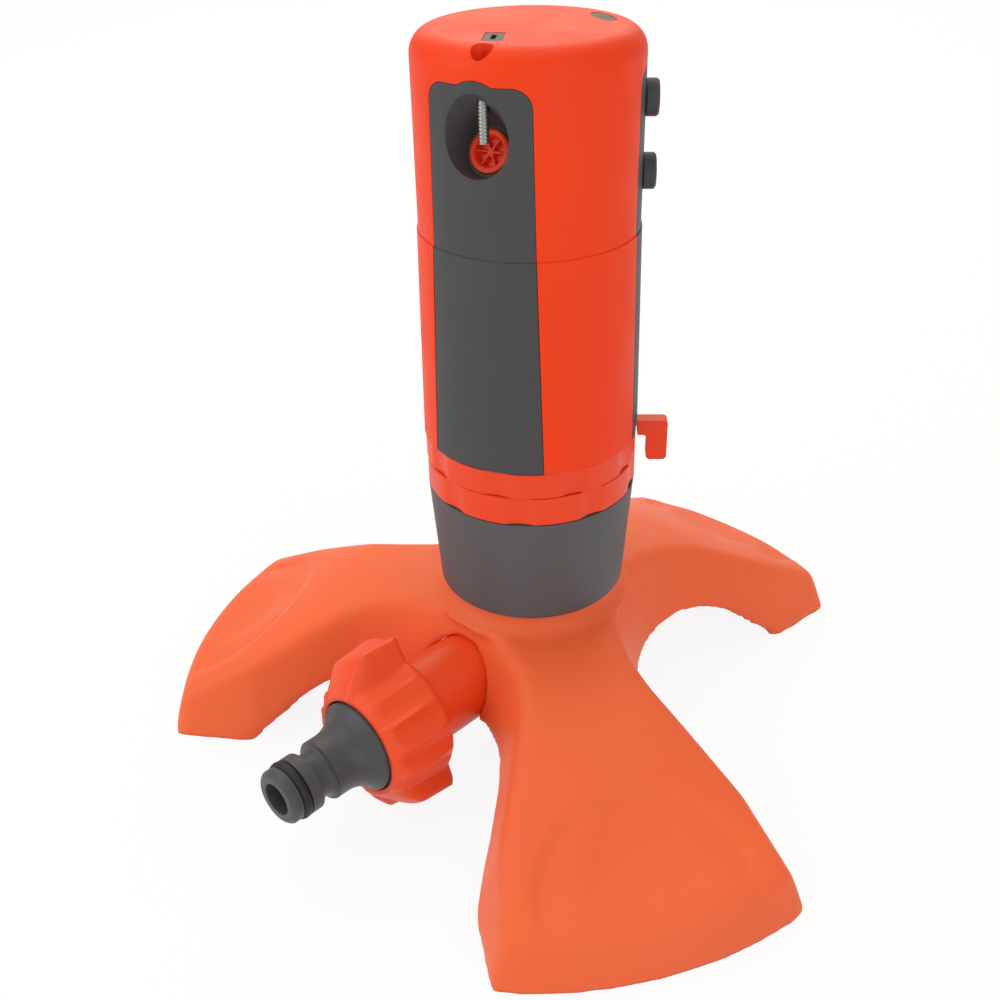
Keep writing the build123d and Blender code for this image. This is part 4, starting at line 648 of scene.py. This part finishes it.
def nozzle_drop(radius, angle):
    """Depth of the nozzle's face below its rim: deep lobes between narrow spokes round a small hub."""
    if radius > NOZZLE_RADIUS - NOZZLE_RIM:
        return NOZZLE_RECESS + (radius - NOZZLE_RADIUS + NOZZLE_RIM) * 0.3
    floor = NOZZLE_FLOOR_DROP * ease((3.6 - radius) / 0.3)
    from_spoke = abs(sin(NOZZLE_LOBES / 2 * angle)) * radius * 0.35
    between = ease((radius - NOZZLE_HUB) / 0.4) * ease((3.3 - radius) / 0.35)
    lobe = ease((from_spoke - NOZZLE_SPOKE) / 0.25) * between
    return NOZZLE_RECESS + floor + NOZZLE_LOBE_DEPTH * lobe


class SPRINKLER_OT_nozzle(bpy.types.Operator):
    """Forms the fitted nozzle's face: a rim round a sunk floor with six deep lobes"""

    bl_idname = "sprinkler.nozzle"
    bl_label = "Fitted nozzle"

    def execute(self, context):
        low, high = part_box("nozzle")
        centre = (low + high) / 2
        heading, tilt = radians(NOZZLE_HEADING), radians(NOZZLE_TILT)
        jet = Vector((cos(tilt) * cos(heading), cos(tilt) * sin(heading), sin(tilt)))
        side = Vector((-sin(heading), cos(heading), 0))
        rise = side.cross(jet)
        steps = 144
        # The floor has fine stations, where the lobes are, and the rim has a few
        face = [0.02, 0.35, 0.7] + [0.9 + 0.12 * i for i in range(20)]
        face += [3.25, 3.35, 3.5, 3.7, 4.4, 4.75, 4.93]
        back = -NOZZLE_HALF_LENGTH
        levels = [(radius, None) for radius in face]
        levels += [(NOZZLE_RADIUS, NOZZLE_HALF_LENGTH - NOZZLE_CHAMFER), (NOZZLE_RADIUS, back)]
        levels += [(NOZZLE_BORE, back), (NOZZLE_BORE, 0.0), (0.02, 0.0)]
        rows = []
        for radius, level in levels:
            row = []
            for step in range(steps):
                angle = step * 2 * pi / steps
                height = level
                if level is None:
                    height = NOZZLE_HALF_LENGTH - nozzle_drop(radius, angle)
                outward = side * cos(angle) + rise * sin(angle)
                row.append(centre + outward * radius * MM + jet * height * MM)
            rows.append(row)
        piece = lathed("nozzle_with_lobes", rows, 55)
        settle(piece, "head", "Orange acetal, polished mould", "nozzle_orange", "nozzle")
        return {"FINISHED"}


# Radius screw, in mm

SCREW_CREST = 1.25
SCREW_HEAD_RADIUS = 2.0
SCREW_HEAD_HEIGHT = 2.6
SCREW_SLOT = (6.0, 0.7, 2.0)


def screw_nodes(settings):
    """Node group that winds a threaded shank, and puts a slotted head on it, from lengths with labels."""
    tree = bpy.data.node_groups.new("Threaded screw", "GeometryNodeTree")
    for label, value in settings:
        socket = tree.interface.new_socket(label, in_out="INPUT", socket_type="NodeSocketFloat")
        socket.default_value = value
    tree.interface.new_socket("Finish", in_out="INPUT", socket_type="NodeSocketMaterial")
    tree.interface.new_socket("Geometry", in_out="OUTPUT", socket_type="NodeSocketGeometry")
    given = add_node(tree, "NodeGroupInput").outputs
    shank_length, head_height = given["Shank length"], given["Head height"]

    def maths(operation, first, second=0.0):
        return add_node(tree, "ShaderNodeMath", [(0, first), (1, second)], operation=operation).outputs[0]

    def raised(solid, height):
        lift = add_node(tree, "ShaderNodeCombineXYZ", [("Z", height)]).outputs[0]
        shift = [("Geometry", solid), ("Translation", lift)]
        return add_node(tree, "GeometryNodeTransform", shift).outputs[0]

    crest = given["Crest radius"]
    rod = [("Vertices", 40), ("Side Segments", 180), ("Radius", crest), ("Depth", shank_length)]
    shank = add_node(tree, "GeometryNodeMeshCylinder", rod).outputs["Mesh"]
    # A point's height in pitches plus its turn tells where it is between crest and root
    position = add_node(tree, "GeometryNodeInputPosition").outputs[0]
    point = add_node(tree, "ShaderNodeSeparateXYZ", [(0, position)]).outputs
    turn = maths("DIVIDE", maths("ARCTAN2", point["Y"], point["X"]), 2 * pi)
    phase = maths("FRACT", maths("ADD", maths("DIVIDE", point["Z"], given["Pitch"]), turn))
    flank = maths("ABSOLUTE", maths("SUBTRACT", maths("MULTIPLY", phase, 2.0), 1.0))
    cut = maths("DIVIDE", maths("MULTIPLY", flank, given["Thread depth"]), crest)
    keep = maths("SUBTRACT", 1.0, cut)
    moved = add_node(
        tree,
        "ShaderNodeCombineXYZ",
        [
            ("X", maths("MULTIPLY", point["X"], keep)),
            ("Y", maths("MULTIPLY", point["Y"], keep)),
            ("Z", maths("ADD", point["Z"], maths("MULTIPLY", shank_length, 0.5))),
        ],
    ).outputs[0]
    wound = [("Geometry", shank), ("Position", moved)]
    threaded = add_node(tree, "GeometryNodeSetPosition", wound).outputs[0]
    drum = [("Vertices", 36), ("Radius", given["Head radius"]), ("Depth", head_height)]
    head = add_node(tree, "GeometryNodeMeshCylinder", drum).outputs["Mesh"]
    head = raised(head, maths("ADD", shank_length, maths("MULTIPLY", head_height, 0.5)))
    slot_size = tuple(length * MM for length in SCREW_SLOT)
    cutter = add_node(tree, "GeometryNodeMeshCube", [("Size", slot_size)]).outputs["Mesh"]
    cutter = raised(cutter, maths("ADD", shank_length, head_height))
    both = [("Mesh 1", head), ("Mesh 2", cutter)]
    slotted = add_node(tree, "GeometryNodeMeshBoolean", both, operation="DIFFERENCE").outputs[0]
    whole = add_node(tree, "GeometryNodeJoinGeometry", [(0, threaded), (0, slotted)]).outputs[0]
    real = add_node(tree, "GeometryNodeRealizeInstances", [(0, whole)]).outputs[0]
    finished = add_node(tree, "GeometryNodeSetMaterial", [(0, real), ("Material", given["Finish"])])
    add_node(tree, "NodeGroupOutput", [(0, finished.outputs[0])])
    return tree


class SPRINKLER_OT_radius_screw(bpy.types.Operator):
    """Winds the radius screw's thread with Geometry Nodes"""

    bl_idname = "sprinkler.radius_screw"
    bl_label = "Radius screw"

    def execute(self, context):
        sizes = context.scene.sprinkler_sizes
        low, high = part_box("radius_screw")
        head_height = SCREW_HEAD_HEIGHT * MM
        blank = link(bpy.data.meshes.new("screw blank"), "screw blank")
        winding = blank.modifiers.new("Thread", "NODES")
        winding.node_group = screw_nodes((
            ("Crest radius", SCREW_CREST * MM),
            ("Thread depth", sizes.thread_depth),
            ("Pitch", sizes.thread_pitch),
            ("Shank length", high.z - low.z - head_height),
            ("Head radius", SCREW_HEAD_RADIUS * MM),
            ("Head height", head_height),
        ))
        for item in winding.node_group.interface.items_tree:
            if item.name == "Finish":
                winding[item.identifier] = bpy.data.materials["Stainless steel, turned"]
        piece = applied(blank, "radius_screw_threaded")
        centre = (low + high) / 2
        piece.data.transform(Matrix.Translation((centre.x, centre.y, low.z)))
        piece.data.shade_smooth()
        piece.data.set_sharp_from_angle(angle=radians(40))
        settle(piece, "jet_screw", "Stainless steel, turned", "screw_steel", "radius_screw")
        return {"FINISHED"}


# Stage, in metres: the lamps with place, power, size and tint, and the camera fitted to the photograph

LAMPS = (
    ("Key softbox", (-0.45, -0.95, 0.55), 4.5, 0.9, (1.0, 1.0, 1.0)),
    ("Fill softbox", (1.0, -0.3, 0.45), 3.2, 0.9, (1.0, 1.0, 1.0)),
    ("Overhead softbox", (-0.35, 0.15, 1.3), 9.0, 1.6, (1.0, 0.98, 0.86)),
    ("Rear softbox", (-0.75, 0.81, 0.78), 4.5, 1.0, (1.0, 0.97, 0.72)),
)
LAMP_TARGET = (0.0, 0.0, 0.09)
FLOOR_HALF = 3.0
WORLD_STRENGTH = 0.48
CAMERA_PLACE = (0.20424, -0.21864, 0.25418)
CAMERA_RIGHT = (0.71876, 0.69503, -0.01897)
CAMERA_AHEAD = (-0.59932, 0.60549, -0.52367)
CAMERA_LENS_MM = 45.565


class SPRINKLER_OT_stage(bpy.types.Operator):
    """Sets the pale floor, the soft lamps and the camera"""

    bl_idname = "sprinkler.stage"
    bl_label = "Stage"

    def execute(self, context):
        scene = context.scene
        scene.view_settings.view_transform = "Standard"
        card = studio_card("White studio card", linear("#F4F4F2"), 0.9)
        half = FLOOR_HALF
        mesh = bpy.data.meshes.new("studio_floor")
        corners = [(-half, -half, 0), (half, -half, 0), (half, half, 0), (-half, half, 0)]
        mesh.from_pydata(corners, [], [(0, 1, 2, 3)])
        floor = link(mesh, "studio_floor")
        floor.data.materials.append(card)
        world = bpy.data.worlds.new("Studio")
        world.use_nodes = True
        tree = world.node_tree
        tree.nodes.clear()
        rays = add_node(tree, "ShaderNodeLightPath")
        dim, white = (
            add_node(tree, "ShaderNodeBackground", [("Color", (1, 1, 1, 1)), ("Strength", strength)])
            for strength in (WORLD_STRENGTH, 1.0)
        )
        pick = add_node(
            tree,
            "ShaderNodeMixShader",
            [(0, rays.outputs["Is Camera Ray"]), (1, dim.outputs[0]), (2, white.outputs[0])],
        )
        add_node(tree, "ShaderNodeOutputWorld", [("Surface", pick.outputs[0])])
        scene.world = world
        target = Vector(LAMP_TARGET)
        for name, position, power, size, tint in LAMPS:
            lamp = bpy.data.lights.new(name, "AREA")
            lamp.energy = power
            lamp.size = size
            lamp.color = tint
            holder = bpy.data.objects.new(name, lamp)
            scene.collection.objects.link(holder)
            holder.location = position
            holder.rotation_euler = (target - holder.location).to_track_quat("-Z", "Y").to_euler()
        lens = bpy.data.cameras.new("Photo camera")
        lens.lens = CAMERA_LENS_MM
        lens.sensor_width = 36.0
        lens.clip_start = 0.01
        camera = bpy.data.objects.new("Photo camera", lens)
        scene.collection.objects.link(camera)
        right = Vector(CAMERA_RIGHT).normalized()
        ahead = Vector(CAMERA_AHEAD).normalized()
        up = right.cross(ahead).normalized()
        turn = Matrix((right, up, -ahead)).transposed().to_4x4()
        camera.matrix_world = Matrix.Translation(CAMERA_PLACE) @ turn
        scene.camera = camera
        return {"FINISHED"}


class SPRINKLER_PT_panel(bpy.types.Panel):
    """Lists the sprinkler's pieces, sizes and colours"""

    bl_idname = "SPRINKLER_PT_panel"
    bl_label = "Sprinkler"
    bl_space_type = "VIEW_3D"
    bl_region_type = "UI"
    bl_category = "Sprinkler"

    def draw(self, context):
        for step in STEPS:
            self.layout.operator("sprinkler." + step)
        for group in (context.scene.sprinkler_sizes, context.scene.sprinkler_colours):
            for name in group.bl_rna.properties.keys():
                if name not in ("rna_type", "name"):
                    self.layout.prop(group, name)


STEPS = ("finishes", "foot", "barrel", "nut", "inlet", "nose_seal", "nozzle", "radius_screw", "stage")
CLASSES = (
    SprinklerColours,
    SprinklerSizes,
    SPRINKLER_OT_finishes,
    SPRINKLER_OT_foot,
    SPRINKLER_OT_barrel,
    SPRINKLER_OT_nut,
    SPRINKLER_OT_inlet,
    SPRINKLER_OT_nose_seal,
    SPRINKLER_OT_nozzle,
    SPRINKLER_OT_radius_screw,
    SPRINKLER_OT_stage,
    SPRINKLER_PT_panel,
)


def register():
    for item in CLASSES:
        bpy.utils.register_class(item)
    bpy.types.Scene.sprinkler_colours = bpy.props.PointerProperty(type=SprinklerColours)
    bpy.types.Scene.sprinkler_sizes = bpy.props.PointerProperty(type=SprinklerSizes)


def unregister():
    del bpy.types.Scene.sprinkler_sizes
    del bpy.types.Scene.sprinkler_colours
    for item in reversed(CLASSES):
        bpy.utils.unregister_class(item)


def main():
    register()
    for step in STEPS:
        getattr(bpy.ops.sprinkler, step)()
    bpy.context.view_layer.update()


if __name__ == "__main__":
    main()
